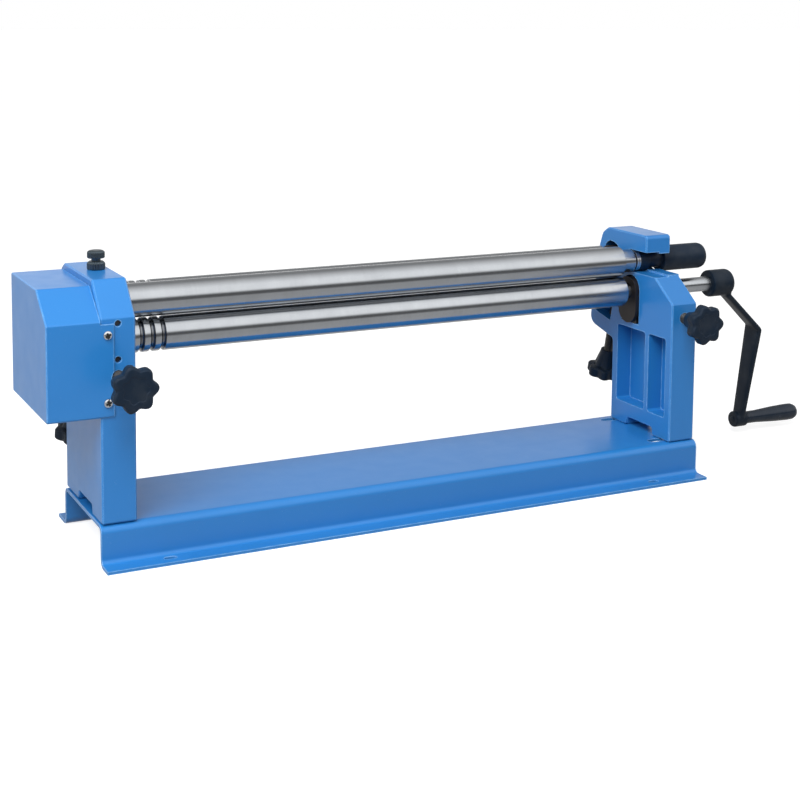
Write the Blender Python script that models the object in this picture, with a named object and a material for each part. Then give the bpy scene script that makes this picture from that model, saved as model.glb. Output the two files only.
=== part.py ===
"""A hand-cranked three-roll sheet metal bending machine.

Axes in metres: X runs along the rolls from the gear end to the crank end, Y runs from the front
to the back, and Z is up. Sizes below are counted from the middle of the base on the bench top.
The finished model has its origin on the bench top under the middle of the front foot.
"""

import bmesh
import bpy
from math import atan2, ceil, cos, degrees, pi, radians, sin, tan
from mathutils import Matrix, Vector

MM = 0.001

# Clearances
FIT = 0.3 * MM
SLIDE_FIT = 0.35 * MM
CUT_PAST = 2 * MM

# Rolls
roll_diameter = 42 * MM
roll_length = 720 * MM
top_roll_short = 5 * MM
pinch_gap = 1.2 * MM
journal_diameter = 21.4 * MM
rear_journal_diameter = 18 * MM
neck_diameter = 32 * MM
neck_gap = 2 * MM
roll_edge = 1.2 * MM
groove_radius = 3 * MM
groove_pitch = 13.5 * MM
groove_count = 3
groove_steps = 3
first_groove = 16 * MM

# Where the rolls lie at rest
lower_axis_y = 22 * MM
lower_axis_z = 244.7 * MM
rear_axis_y = 72 * MM
rear_axis_z = 281.5 * MM

# Base of bent sheet
base_past = 2 * MM
base_height = 49 * MM
base_sheet = 4 * MM
base_top_half = 82.1 * MM
base_foot_front = 107.3 * MM
base_foot_back = 115 * MM
base_bend = 6 * MM
bench_slot_inside = 35.5 * MM
bench_slot_length = 16 * MM
bench_slot_width = 8 * MM
bench_slot_in = 14.6 * MM
spare_slot_inside = 8 * MM
spare_slot_y = 58 * MM
spare_slot_length = 26 * MM
spare_slot_width = 13 * MM

# Frames
roll_end_gap = 17 * MM
frame_thickness = 41.2 * MM
frame_edge = 1.6 * MM
left_front = -79.8 * MM
right_front = -76.8 * MM
left_back = 80 * MM
right_back = 64.5 * MM
left_top = 328.8 * MM
right_top = 327.4 * MM
chamfer_foot_left = 289.5 * MM
chamfer_head_left = -43.2 * MM
chamfer_foot_right = 241.4 * MM
chamfer_round = 4 * MM
arm_corner_y = -35.5 * MM
hook_front = -13 * MM
hook_round = 5 * MM
belly_y = 125 * MM
belly_z = 181.5 * MM
belly_round = 14 * MM
bulge_y = 104 * MM
bulge_z = 298 * MM
bulge_round = 16 * MM
shoulder_y = 82 * MM
shoulder_reach = 14 * MM
shoulder_drop = 8.4 * MM
shoulder_round = 11 * MM
waist_z = 167 * MM
waist_round = 6 * MM
foot_round = 3 * MM
notch_front = -36.5 * MM
notch_back = 25 * MM
notch_height = 11 * MM
notch_lean = 1.5 * MM
pocket_front = -64 * MM
pocket_margin = 13 * MM
pocket_low = 81 * MM
pocket_high = 191.5 * MM
pocket_depth = 24 * MM
pocket_round = 4 * MM
rib_y = -20 * MM
rib_width = 8 * MM

# Hook that holds the crank end of the top roll
mouth_height = 31.5 * MM
lip = 2.4 * MM
lip_depth = 18.5 * MM

# Lower bearing blocks and the sloping shoes that lift them
slot_width = 42.7 * MM
slot_floor = 199 * MM
slot_head_room = 1.4 * MM
wedge_drop = 24.5 * MM
wedge_slope = 0.5
lift_down = 3 * MM
lift_up = 1 * MM
plate_stand_out = 6 * MM

# Rear bearing blocks on their steep slides
rear_lean = 77.5
rear_slot_width = 40 * MM
rear_slot_depth = 27 * MM
rear_slot_round = 17 * MM
rear_room_up = 7.3 * MM
rear_travel_down = 67 * MM
rear_stand_out = 5 * MM

# Adjusting screws and star knobs
screw_diameter = 14.6 * MM
thread_chamfer = 1.2 * MM
dog_diameter = 8.4 * MM
front_screw_z = 221.5 * MM
left_knob_face = -150 * MM
right_knob_face = -130 * MM
knob_diameter = 55 * MM
knob_valley = 45 * MM
knob_lobes = 7
knob_steps = 5
knob_head = 15 * MM
knob_hub_length = 26 * MM
knob_hub_small = 22.5 * MM
knob_hub_large = 37 * MM
knob_edge = 2.5 * MM
knob_bore_depth = 22 * MM
rear_knob_drop = 185 * MM

# Gears, drive sleeve and swivel end of the top roll
tooth_count = 14
gear_module = 3 * MM
tooth_thinning = 0.45 * MM
gear_width = 22 * MM
gear_stand_off = 12 * MM
swivel_in = 17.5 * MM
ball_diameter = 21 * MM
ball_neck_diameter = 13 * MM
drive_pin_diameter = 5 * MM
drive_pin_length = 28 * MM
sleeve_outside = 34 * MM
sleeve_spigot = 22 * MM

# Crank
hub_stand_off = 92.8 * MM
hub_length = 37 * MM
hub_diameter = 39 * MM
shaft_short = 3 * MM
crank_offset = 98.9 * MM
crank_knee = 76.3 * MM
crank_radius = 226.4 * MM
crank_lean = 10.3
arm_thickness = 10 * MM
arm_root_width = 21 * MM
arm_knee_width = 26 * MM
arm_tip_width = 17.5 * MM
boss_diameter = 24 * MM
boss_length = 22 * MM
grip_length = 97 * MM
grip_small = 18.5 * MM
grip_large = 25 * MM
spindle_diameter = 8 * MM

# Release sleeve on the crank end of the top roll
handle_stand_off = 4 * MM
handle_length = 77.8 * MM
handle_bore = 51.5 * MM
handle_diameter = 36.8 * MM
sleeve_nose = 24.2 * MM
bush_fit = 0.75 * MM
end_shaft = 16 * MM
thrust_ring = 3 * MM

# Lock screw on top of the gear end frame
collar_diameter = 21.8 * MM
collar_height = 10 * MM
lock_neck = 11 * MM
lock_neck_height = 3.7 * MM
cap_diameter = 21 * MM
cap_height = 9.4 * MM
lock_pad_height = 5 * MM

# Gear cover
cover_reach = 62.6 * MM
cover_sheet = 2 * MM
cover_front_gap = 0.4 * MM
cover_back = 87.8 * MM
cover_low = 175.1 * MM
cover_top = 320.8 * MM
cover_chamfer_y = -36.8 * MM
cover_chamfer_z = 286.6 * MM
cover_round = 3 * MM
cover_flange_gap = 1.3 * MM
cover_flange_drop = 3 * MM
cover_notch_room = 1 * MM
cover_screw_low = 192.4 * MM
cover_screw_high = 270.9 * MM
cover_screw_depth = 10 * MM
cover_screw_head = 8.8 * MM
cover_screw_shank = 4 * MM

# Frame bolts and set screws
bolt_diameter = 10 * MM
bolt_head = 17 * MM
bolt_head_height = 6.5 * MM
bolt_reach = 20 * MM
bolt_front_y = -61 * MM
bolt_back_y = 48 * MM
set_screw_low = 241.3 * MM
set_screw_high = 283.2 * MM
set_screw_diameter = 7 * MM
set_screw_recess = 3.5 * MM
set_screw_length = 9 * MM

arc_step = 28
ROUND = 28
SMALL_ROUND = 16
TINY_ROUND = 12
SLOT_CORNER = 2 * MM

# Worked-out places
roll_r = roll_diameter / 2
top_axis_z = lower_axis_z + roll_diameter + pinch_gap
roll_left = -roll_length / 2
roll_right = roll_length / 2
top_roll_right = roll_right - top_roll_short
left_inner = roll_left - roll_end_gap
left_outer = left_inner - frame_thickness
right_inner = roll_right + roll_end_gap
right_outer = right_inner + frame_thickness
left_middle = (left_inner + left_outer) / 2
right_middle = (right_inner + right_outer) / 2
neck_end = right_inner - neck_gap
swivel_x = left_inner - swivel_in
hub_start = right_outer + hub_stand_off
hub_end = hub_start + hub_length
shaft_end = hub_end - shaft_short
crank_plane_x = hub_start + crank_offset
handle_start = right_outer + handle_stand_off
handle_end = handle_start + handle_length
bush_diameter = mouth_height - 2 * bush_fit
gear_right = left_outer - gear_stand_off
gear_left = gear_right - gear_width
lean = radians(rear_lean)
slide_down = Vector((0, cos(lean), -sin(lean)))
dog_length = (lift_down + lift_up) / wedge_slope + 3 * FIT
cover_flange = frame_thickness / 2 - set_screw_diameter / 2 - cover_flange_gap
cover_screw_x = left_outer + cover_flange / 2
cover_front = left_front - cover_front_gap - cover_sheet
cover_left = left_outer - cover_reach
shoe_front = lower_axis_y - slot_width / 2 + lift_down / wedge_slope + 2 * FIT
rear_axis = Vector((0, rear_axis_y, rear_axis_z))
lower_axis = Vector((0, lower_axis_y, lower_axis_z))
top_axis = Vector((0, lower_axis_y, top_axis_z))
crank_out = Vector((0, sin(radians(crank_lean)), -cos(radians(crank_lean))))

front_foot = Vector((0, -(base_foot_front + base_top_half) / 2, 0))

# Local (u, v, w) to world: u becomes Y, v becomes Z and w becomes X
ALONG_X = Matrix(((0, 0, 1, 0), (1, 0, 0, 0), (0, 1, 0, 0), (0, 0, 0, 1)))


def clear_scene():
    """Remove every object, mesh and material of the start-up scene."""
    for old in list(bpy.data.objects):
        bpy.data.objects.remove(old, do_unlink=True)
    for store in (bpy.data.meshes, bpy.data.materials):
        for old in list(store):
            store.remove(old)


def material(name, colour, roughness, metallic):
    """A Principled material with one colour, roughness and metallic value."""
    made = bpy.data.materials.new(name)
    made.use_nodes = True
    shader = made.node_tree.nodes["Principled BSDF"]
    shader.inputs["Base Color"].default_value = (*colour, 1)
    shader.inputs["Roughness"].default_value = roughness
    shader.inputs["Metallic"].default_value = metallic
    made.diffuse_color = (*colour, 1)
    return made


def along(direction, origin=(0, 0, 0)):
    """Matrix that carries local +Z onto the direction, with its origin at the given point."""
    turn = Vector(direction).normalized().to_track_quat("Z", "Y").to_matrix().to_4x4()
    return Matrix.Translation(Vector(origin)) @ turn


def rounded(corners):
    """Outline through (u, v, radius) corners, each radius an arc of short straight steps."""
    points = []
    count = len(corners)
    for i, (u, v, radius) in enumerate(corners):
        here = Vector((u, v))
        before = Vector(corners[i - 1][:2]) - here
        after = Vector(corners[(i + 1) % count][:2]) - here
        if radius <= 0:
            points.append((u, v))
            continue
        half = before.angle(after) / 2
        setback = min(radius / tan(half), 0.48 * before.length, 0.48 * after.length)
        arc = setback * tan(half)
        middle = here + (before.normalized() + after.normalized()).normalized() * (arc / sin(half))
        start = here + before.normalized() * setback - middle
        end = here + after.normalized() * setback - middle
        sweep = atan2(start.x * end.y - start.y * end.x, start.dot(end))
        steps = max(2, ceil(abs(degrees(sweep)) / arc_step))
        for k in range(steps + 1):
            turn = Matrix.Rotation(sweep * k / steps, 2)
            points.append(tuple(middle + turn @ start))
    return points


def circle(radius, count=ROUND, centre=(0, 0)):
    """Points of a circle around a centre."""
    step = 2 * pi / count
    return [(centre[0] + radius * cos(step * k), centre[1] + radius * sin(step * k)) for k in range(count)]


def prism(outline, start, end, place):
    """Mesh of a flat outline pushed from w = start to w = end, then carried by the place matrix."""
    bm = bmesh.new()
    low = [bm.verts.new((u, v, start)) for u, v in outline]
    high = [bm.verts.new((u, v, end)) for u, v in outline]
    bm.faces.new(reversed(low))
    bm.faces.new(high)
    for k in range(len(outline)):
        n = (k + 1) % len(outline)
        bm.faces.new((low[k], low[n], high[n], high[k]))
    bmesh.ops.transform(bm, matrix=place, verts=bm.verts)
    bmesh.ops.recalc_face_normals(bm, faces=bm.faces)
    return bm


def turned(profile, place, count=ROUND):
    """Mesh turned round w from (radius, w) points, closed at both ends by the first and last point."""
    bm = bmesh.new()
    rings = []
    for radius, w in profile:
        if radius == 0:
            rings.append([bm.verts.new((0, 0, w))] * count)
            continue
        rings.append([bm.verts.new((u, v, w)) for u, v in circle(radius, count)])
    for a, b in zip(rings, rings[1:]):
        for k in range(count):
            n = (k + 1) % count
            corners = []
            for vert in (a[k], a[n], b[n], b[k]):
                if vert not in corners:
                    corners.append(vert)
            if len(corners) > 2:
                bm.faces.new(corners)
    for ring in (rings[0], rings[-1]):
        if ring[0] is not ring[1]:
            bm.faces.new(ring)
    bmesh.ops.transform(bm, matrix=place, verts=bm.verts)
    bmesh.ops.recalc_face_normals(bm, faces=bm.faces)
    return bm


def stacked(outlines, place):
    """Mesh through a stack of (outline, w) rings with equal point counts."""
    bm = bmesh.new()
    rings = [[bm.verts.new((u, v, w)) for u, v in outline] for outline, w in outlines]
    for a, b in zip(rings, rings[1:]):
        for k in range(len(a)):
            n = (k + 1) % len(a)
            bm.faces.new((a[k], a[n], b[n], b[k]))
    bm.faces.new(rings[0])
    bm.faces.new(rings[-1])
    bmesh.ops.transform(bm, matrix=place, verts=bm.verts)
    bmesh.ops.recalc_face_normals(bm, faces=bm.faces)
    return bm


def put(name, bm, finish=None, origin=(0, 0, 0), sharp=35):
    """Object from a mesh in machine places, turning about the given point, moved to the model's origin."""
    origin = Vector(origin)
    bmesh.ops.translate(bm, vec=-origin, verts=bm.verts)
    mesh = bpy.data.meshes.new(name)
    bm.to_mesh(mesh)
    bm.free()
    made = bpy.data.objects.new(name, mesh)
    made.location = origin - front_foot
    bpy.context.scene.collection.objects.link(made)
    if finish:
        mesh.materials.append(finish)
        mesh.shade_smooth()
        mesh.set_sharp_from_angle(angle=radians(sharp))
    return made


def combine(target, operation, name, bm):
    """Boolean of the target with a hidden helper made from the mesh."""
    helper = put(f"{target.name}_{name}", bm, origin=target.location + front_foot)
    helper.hide_render = True
    helper.display_type = "WIRE"
    step = target.modifiers.new(name, "BOOLEAN")
    step.operation = operation
    step.solver = "EXACT"
    step.object = helper


def cut(target, name, bm):
    """Take the mesh away from the target."""
    combine(target, "DIFFERENCE", name, bm)


def add(target, name, bm):
    """Fuse the mesh to the target."""
    combine(target, "UNION", name, bm)


def soften(target, width, angle=50):
    """Bevel the target's sharp edges by one flat."""
    step = target.modifiers.new("soften", "BEVEL")
    step.width = width
    step.segments = 1
    step.limit_method = "ANGLE"
    step.angle_limit = radians(angle)


def box(low, high):
    """Mesh of a box between two corners."""
    outline = [(low[1], low[2]), (high[1], low[2]), (high[1], high[2]), (low[1], high[2])]
    return prism(outline, low[0], high[0], ALONG_X)


def rod(radius, start, end, count=SMALL_ROUND):
    """Mesh of a round bar between two points."""
    start = Vector(start)
    reach = Vector(end) - start
    return turned([(radius, 0), (radius, reach.length)], along(reach, start), count)


def long_hole(centre, length, width, low, high, along_y=False):
    """Mesh of an upright cutter with round ends, longer along X, or along Y."""
    flat = (length - width) / 2
    half = width / 2
    steps = 4
    points = []
    for side, shift in ((0, flat), (1, -flat)):
        for k in range(steps + 1):
            turn = pi * (side + k / steps) - pi / 2
            points.append((shift + half * cos(turn), half * sin(turn)))
    if along_y:
        points = [(-v, u) for u, v in points]
    place = Matrix.Translation(Vector((centre[0], centre[1], 0)))
    return prism(points, low, high, place)


BLUE = (0.035, 0.165, 0.56)
BLACK = (0.018, 0.022, 0.027)
STEEL = (0.42, 0.44, 0.46)


def build_base(paint):
    """Bent sheet base: a flat top, two upright webs and two foot flanges."""
    t = base_sheet
    inner = base_bend
    outer = base_bend + t
    top = base_top_half
    front = base_foot_front
    back = base_foot_back
    high = base_height
    corners = [
        (-front, 0, 0), (-top + t, 0, outer), (-top + t, high - t, inner), (top - t, high - t, inner),
        (top - t, 0, outer), (back, 0, 0), (back, t, 0), (top, t, inner), (top, high, outer),
        (-top, high, outer), (-top, t, inner), (-front, t, 0),
    ]
    ends = left_outer - base_past, right_outer + base_past
    base = put("base_plate", prism(rounded(corners), *ends, ALONG_X), paint)
    for row, y in (("front", bench_slot_in - base_foot_front), ("back", base_foot_back - bench_slot_in)):
        for end, x in (("left", left_inner + bench_slot_inside), ("right", right_inner - bench_slot_inside)):
            hole = long_hole((x, y), bench_slot_length, bench_slot_width, -CUT_PAST, t + CUT_PAST)
            cut(base, f"bench_slot_{row}_{end}", hole)
    for row, y in (("front", -spare_slot_y), ("back", spare_slot_y)):
        middle = (right_inner - spare_slot_inside, y)
        hole = long_hole(middle, spare_slot_length, spare_slot_width, high - t - CUT_PAST, high + CUT_PAST)
        cut(base, f"spare_slot_{row}", hole)
    for end, x in (("left", left_middle), ("right", right_middle)):
        for row, y in (("front", bolt_front_y), ("back", bolt_back_y)):
            r = bolt_diameter / 2 + FIT
            hole = rod(r, (x, y, high - t - CUT_PAST), (x, y, high + CUT_PAST))
            cut(base, f"bolt_hole_{end}_{row}", hole)
    return base


def foot_outline(front, back):
    """Lower edge of a frame, with the notch that leaves two feet."""
    z = base_height + FIT
    high = z + notch_height
    return [
        (front, z, foot_round), (notch_front, z, 0), (notch_front + notch_lean, high, foot_round),
        (notch_back - notch_lean, high, foot_round), (notch_back, z, 0), (back, z, foot_round),
    ]


def back_outline(back, top):
    """Rear edge of a frame: column, the belly under the rear slide and the sloping shoulder."""
    return [
        (back, waist_z, waist_round), (belly_y, belly_z, belly_round), (bulge_y, bulge_z, bulge_round),
        (shoulder_y + shoulder_reach, top - shoulder_drop, shoulder_round), (shoulder_y, top, shoulder_round),
    ]


def lower_slot(start, end, head):
    """Cutter of the upright slot for a lower bearing block, round at its head."""
    half = slot_width / 2
    y = lower_axis_y
    outline = [
        (y - half, slot_floor, 0), (y + half, slot_floor, 0), (y + half, head, half), (y - half, head, half),
    ]
    return prism(rounded(outline), start, end, ALONG_X)


def rear_slot_outline(width, up, down, corner):
    """Outline across the steep slide, given reaches up and down from the rear roll's axis."""
    fall = Vector((slide_down.y, slide_down.z))
    side = fall.orthogonal().normalized() * (width / 2)
    centre = Vector((rear_axis.y, rear_axis.z))
    high = centre - fall * up
    low = centre + fall * down
    points = [high + side, high - side, low - side, low + side]
    radii = (corner, corner, SLOT_CORNER, SLOT_CORNER)
    return rounded([(p.x, p.y, r) for p, r in zip(points, radii)])


def frame_cuts(frame, inner, outer, knob_x, front, back):
    """Slots, pocket, screw holes and bolt holes that both frames share."""
    inward = 1 if inner > outer else -1
    low_x, high_x = sorted((inner + inward * CUT_PAST, outer - inward * CUT_PAST))
    head = lower_axis_z + slot_width / 2 + slot_head_room
    cut(frame, "lower_slot", lower_slot(low_x, high_x, head))
    blind = sorted((inner + inward * CUT_PAST, inner - inward * rear_slot_depth))
    half = rear_slot_width / 2
    rear = rear_slot_outline(rear_slot_width, half + rear_room_up, half + rear_travel_down, rear_slot_round)
    cut(frame, "rear_slot", prism(rear, *blind, ALONG_X))
    screw = rod(
        screw_diameter / 2 + FIT, (knob_x, front - CUT_PAST, front_screw_z),
        (knob_x, lower_axis_y, front_screw_z),
    )
    cut(frame, "front_screw_hole", screw)
    start = Vector((knob_x, rear_axis_y, rear_axis_z)) + slide_down * half
    out = start + slide_down * (belly_y - right_back + rear_travel_down)
    cut(frame, "rear_screw_hole", rod(screw_diameter / 2 + FIT, start, out))
    for end, y in (("front", bolt_front_y), ("back", bolt_back_y)):
        z = base_height
        hole = rod(bolt_diameter / 2 + FIT, (knob_x, y, z - CUT_PAST), (knob_x, y, z + bolt_reach + FIT))
        cut(frame, f"bolt_hole_{end}", hole)
    for label, y0, y1 in (
        ("front", pocket_front, rib_y - rib_width / 2), ("back", rib_y + rib_width / 2, back - pocket_margin),
    ):
        around = ((y0, pocket_low), (y1, pocket_low), (y1, pocket_high), (y0, pocket_high))
        pocket = [(y, z, pocket_round) for y, z in around]
        ends = sorted((inner + inward * CUT_PAST, inner - inward * pocket_depth))
        cut(frame, f"pocket_{label}", prism(rounded(pocket), *ends, ALONG_X))


def build_left_frame(paint):
    """Gear end frame: carries the drive sleeve, the gears' cover and the lock screw."""
    corners = foot_outline(left_front, left_back) + back_outline(left_back, left_top) + [
        (chamfer_head_left, left_top, chamfer_round), (left_front, chamfer_foot_left, chamfer_round),
    ]
    frame = put("left_frame", prism(rounded(corners), left_outer, left_inner, ALONG_X), paint)
    soften(frame, frame_edge)
    frame_cuts(frame, left_inner, left_outer, left_middle, left_front, left_back)
    bore = rod(
        sleeve_outside / 2 + FIT, (left_outer - CUT_PAST, lower_axis_y, top_axis_z),
        (left_inner + CUT_PAST, lower_axis_y, top_axis_z), ROUND,
    )
    cut(frame, "sleeve_bore", bore)
    lock = rod(
        lock_neck / 2 + FIT, (swivel_x, lower_axis_y, top_axis_z),
        (swivel_x, lower_axis_y, left_top + CUT_PAST),
    )
    cut(frame, "lock_hole", lock)
    outside = left_front - CUT_PAST
    for label, z in (("top", set_screw_high), ("low", set_screw_low)):
        inside = left_front + set_screw_recess + set_screw_length + FIT
        r = set_screw_diameter / 2 + FIT
        hole = rod(r, (left_middle, outside, z), (left_middle, inside, z), TINY_ROUND)
        cut(frame, f"set_screw_hole_{label}", hole)
    for label, z in (("low", cover_screw_low), ("high", cover_screw_high)):
        inside = left_front + cover_screw_depth
        r = cover_screw_shank / 2 + FIT
        hole = rod(r, (cover_screw_x, outside, z), (cover_screw_x, inside, z), TINY_ROUND)
        cut(frame, f"cover_screw_hole_{label}", hole)
    return frame


def build_right_frame(paint):
    """Crank end frame: its front is a hook that the top roll swings out of."""
    corners = foot_outline(right_front, right_back) + back_outline(right_back, right_top) + [
        (hook_front, right_top, hook_round), (hook_front, top_axis_z, 0),
        (arm_corner_y, top_axis_z - mouth_height / 4, 0), (arm_corner_y, top_axis_z - mouth_height / 2, 0),
        (right_front, chamfer_foot_right, chamfer_round),
    ]
    frame = put("right_frame", prism(rounded(corners), right_inner, right_outer, ALONG_X), paint)
    soften(frame, frame_edge)
    frame_cuts(frame, right_inner, right_outer, right_middle, right_front, right_back)
    half = mouth_height / 2
    y, z = lower_axis_y, top_axis_z
    past = arm_corner_y - 4 * CUT_PAST
    wide = [
        (past, z - half, 0), (y + half, z - half, 0), (y + half, z + half, half * 0.9), (past, z + half, 0),
    ]
    split = right_outer - lip_depth
    cut(frame, "mouth", prism(rounded(wide), right_inner - CUT_PAST, split, ALONG_X))
    narrow = [
        (past, z - half + lip, 0), (y, z - half + lip, 0), (y, z + half - lip, 0), (past, z + half - lip, 0),
    ]
    cut(frame, "mouth_lips", prism(rounded(narrow), split - CUT_PAST, right_outer + CUT_PAST, ALONG_X))
    cut(frame, "keyhole", rod(half, (split - CUT_PAST, y, z), (right_outer + CUT_PAST, y, z), ROUND))
    return frame


def grooved(profile):
    """Roll profile with the wire grooves at the gear end put in after its first edge."""
    made = []
    for i in range(groove_count):
        centre = roll_left + first_groove + i * groove_pitch
        for step in range(groove_steps + 1):
            turn = pi * (1 - step / groove_steps)
            made.append((roll_r - groove_radius * sin(turn), centre + groove_radius * cos(turn)))
    return profile[0] + made + profile[1]


def build_rolls(steel):
    """Top, lower and rear rolls with their journals."""
    neck = neck_diameter / 2
    ball = ball_diameter / 2
    thin = ball_neck_diameter / 2
    profile = [(0, swivel_x - ball)]
    last = 145
    steps = 6
    for k in range(1, steps + 1):
        turn = radians(last * k / steps)
        profile.append((ball * sin(turn), swivel_x - ball * cos(turn)))
    profile += [
        (thin, left_inner + 3 * MM), (neck * 0.8, roll_left - 8 * MM), (neck * 0.8, roll_left),
        (roll_r - roll_edge, roll_left), (roll_r, roll_left + roll_edge),
        (roll_r, top_roll_right - roll_edge), (roll_r - roll_edge, top_roll_right),
        (neck, top_roll_right), (neck, neck_end), (end_shaft / 2, right_inner),
        (end_shaft / 2, handle_start + handle_bore),
    ]
    top = put("top_roll", turned(profile, along_x(top_axis)), steel, origin=(swivel_x, top_axis.y, top_axis.z))
    reach = drive_pin_length / 2
    pin = rod(
        drive_pin_diameter / 2, (swivel_x, lower_axis_y - reach, top_axis_z),
        (swivel_x, lower_axis_y + reach, top_axis_z), 12,
    )
    add(top, "drive_pin", pin)

    shaft = journal_diameter / 2
    head = [
        (shaft, gear_left - 3 * MM), (shaft, roll_left - 2 * MM), (roll_r - roll_edge, roll_left),
        (roll_r, roll_left + roll_edge),
    ]
    tail = [
        (roll_r, roll_right - roll_edge), (roll_r - roll_edge, roll_right), (shaft, roll_right + 2 * MM),
        (shaft, shaft_end),
    ]
    lower = put("lower_roll", turned(grooved((head, tail)), along_x(lower_axis)), steel, origin=lower_axis)

    shaft = rear_journal_diameter / 2
    reach = rear_slot_depth - 3 * MM
    head = [
        (shaft, left_inner - reach), (shaft, roll_left - 2 * MM), (roll_r - roll_edge, roll_left),
        (roll_r, roll_left + roll_edge),
    ]
    tail = [
        (roll_r, roll_right - roll_edge), (roll_r - roll_edge, roll_right), (shaft, roll_right + 2 * MM),
        (shaft, right_inner + reach),
    ]
    rear = put("rear_roll", turned(grooved((head, tail)), along_x(rear_axis)), steel, origin=rear_axis)
    return top, lower, rear


def along_x(point):
    """Matrix for a shape turned round an axis along X through the point."""
    return Matrix.Translation(Vector((0, point.y, point.z))) @ ALONG_X


def gear_outline(bore_side=1, phase=0.0):
    """Outline of a spur gear with straight-sided teeth, thinned for free running."""
    pitch_r = tooth_count * gear_module / 2
    tip_r = pitch_r + gear_module
    root_r = pitch_r - 1.25 * gear_module
    pitch_angle = 2 * pi / tooth_count
    half_pitch = (pi * gear_module / 2 - tooth_thinning) / 2 / pitch_r
    slope = tan(radians(20)) * gear_module
    half_tip = (half_pitch * pitch_r - slope) / tip_r
    half_root = (half_pitch * pitch_r + 1.1 * slope) / root_r
    points = []
    for k in range(tooth_count):
        centre = phase + k * pitch_angle
        for radius, shift in (
            (root_r, -half_root), (pitch_r, -half_pitch), (tip_r, -half_tip),
            (tip_r, half_tip), (pitch_r, half_pitch), (root_r, half_root),
        ):
            turn = centre + bore_side * shift
            points.append((radius * cos(turn), radius * sin(turn)))
    return points


def build_gears(steel, dark):
    """The two gears, the hollow drive sleeve of the upper one and their retaining screws."""
    upward = pi / 2
    shaft = journal_diameter / 2
    lower = put(
        "lower_gear", prism(gear_outline(phase=upward), gear_left, gear_right, along_x(lower_axis)),
        steel, origin=lower_axis,
    )
    cut(lower, "bore", rod(shaft + FIT, (gear_left - CUT_PAST, lower_axis.y, lower_axis.z),
                           (gear_right + CUT_PAST, lower_axis.y, lower_axis.z)))
    half_tooth = pi / tooth_count
    top = put(
        "top_gear", prism(gear_outline(phase=-upward + half_tooth), gear_left, gear_right, along_x(top_axis)),
        steel, origin=top_axis,
    )
    spigot = sleeve_spigot / 2
    cut(top, "bore", rod(spigot + FIT, (gear_left - CUT_PAST, top_axis.y, top_axis.z),
                         (gear_right + CUT_PAST, top_axis.y, top_axis.z)))
    outside = sleeve_outside / 2
    profile = [
        (spigot, gear_left - 2 * MM), (spigot, gear_right + 1 * MM), (outside, gear_right + 1 * MM),
        (outside, left_inner - 0.5 * MM),
    ]
    sleeve = put("drive_sleeve", turned(profile, along_x(top_axis)), steel, origin=top_axis)
    ball = ball_diameter / 2
    cup = ball + FIT
    cut(sleeve, "cup", rod(cup, (swivel_x - ball - 1 * MM, top_axis.y, top_axis.z),
                           (left_inner + CUT_PAST, top_axis.y, top_axis.z), ROUND))
    half = drive_pin_diameter / 2 + 2 * FIT
    room = ball * sin(radians(8)) + half + 1.2 * MM
    cut(sleeve, "pin_slot", box((swivel_x - room, top_axis.y - outside - CUT_PAST, top_axis.z - half),
                                (left_inner + CUT_PAST, top_axis.y + outside + CUT_PAST, top_axis.z + half)))
    washer = shaft + 3 * MM
    head = 7 * MM
    for name, axis, inner in (
        ("lower_gear_screw", lower_axis, gear_left - 3 * MM), ("top_gear_screw", top_axis, gear_left - 2 * MM),
    ):
        start = inner - FIT
        seat = start - 2 * MM
        profile = [(washer, start), (washer, seat), (head, seat), (head, seat - 5 * MM)]
        put(name, turned(profile, along_x(axis), TINY_ROUND), dark, origin=axis)


def build_lower_blocks(bronze, steel):
    """Lower bearing blocks, the round-ended plates on them and the sloping shoes under them."""
    half = slot_width / 2 - SLIDE_FIT
    y, z = lower_axis_y, lower_axis_z
    plane = z - wedge_drop
    rise = half * wedge_slope
    for side, inner, outer in (("left", left_inner, left_outer), ("right", right_inner, right_outer)):
        inward = 1 if inner > outer else -1
        ends = sorted((inner, outer))
        top = [(y + half * cos(pi * k / 14), z + half * sin(pi * k / 14)) for k in range(15)]
        outline = top + [(y - half, plane + rise + FIT), (y + half, plane - rise + FIT)]
        block = put(f"lower_block_{side}", prism(outline, *ends, ALONG_X), bronze)
        r = journal_diameter / 2 + FIT
        cut(block, "bore", rod(r, (ends[0] - CUT_PAST, y, z), (ends[1] + CUT_PAST, y, z), ROUND))
        faces = sorted((inner + inward * FIT, inner + inward * plate_stand_out))
        low = slot_floor + FIT
        around = ((y - half, low), (y + half, low), (y + half, z + half), (y - half, z + half))
        plate = put(f"bearing_plate_{side}", prism(rounded([(u, v, half) for u, v in around]), *faces, ALONG_X), bronze)
        cut(plate, "bore", rod(r, (faces[0] - CUT_PAST, y, z), (faces[1] + CUT_PAST, y, z), ROUND))
        front = shoe_front
        back = y + slot_width / 2 - lift_up / wedge_slope - 2 * FIT
        shoe = [
            (front, slot_floor + FIT), (back, slot_floor + FIT), (back, plane - (back - y) * wedge_slope),
            (front, plane - (front - y) * wedge_slope),
        ]
        put(f"lift_shoe_{side}", prism(shoe, min(inner, outer), max(inner, outer), ALONG_X), steel)


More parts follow.
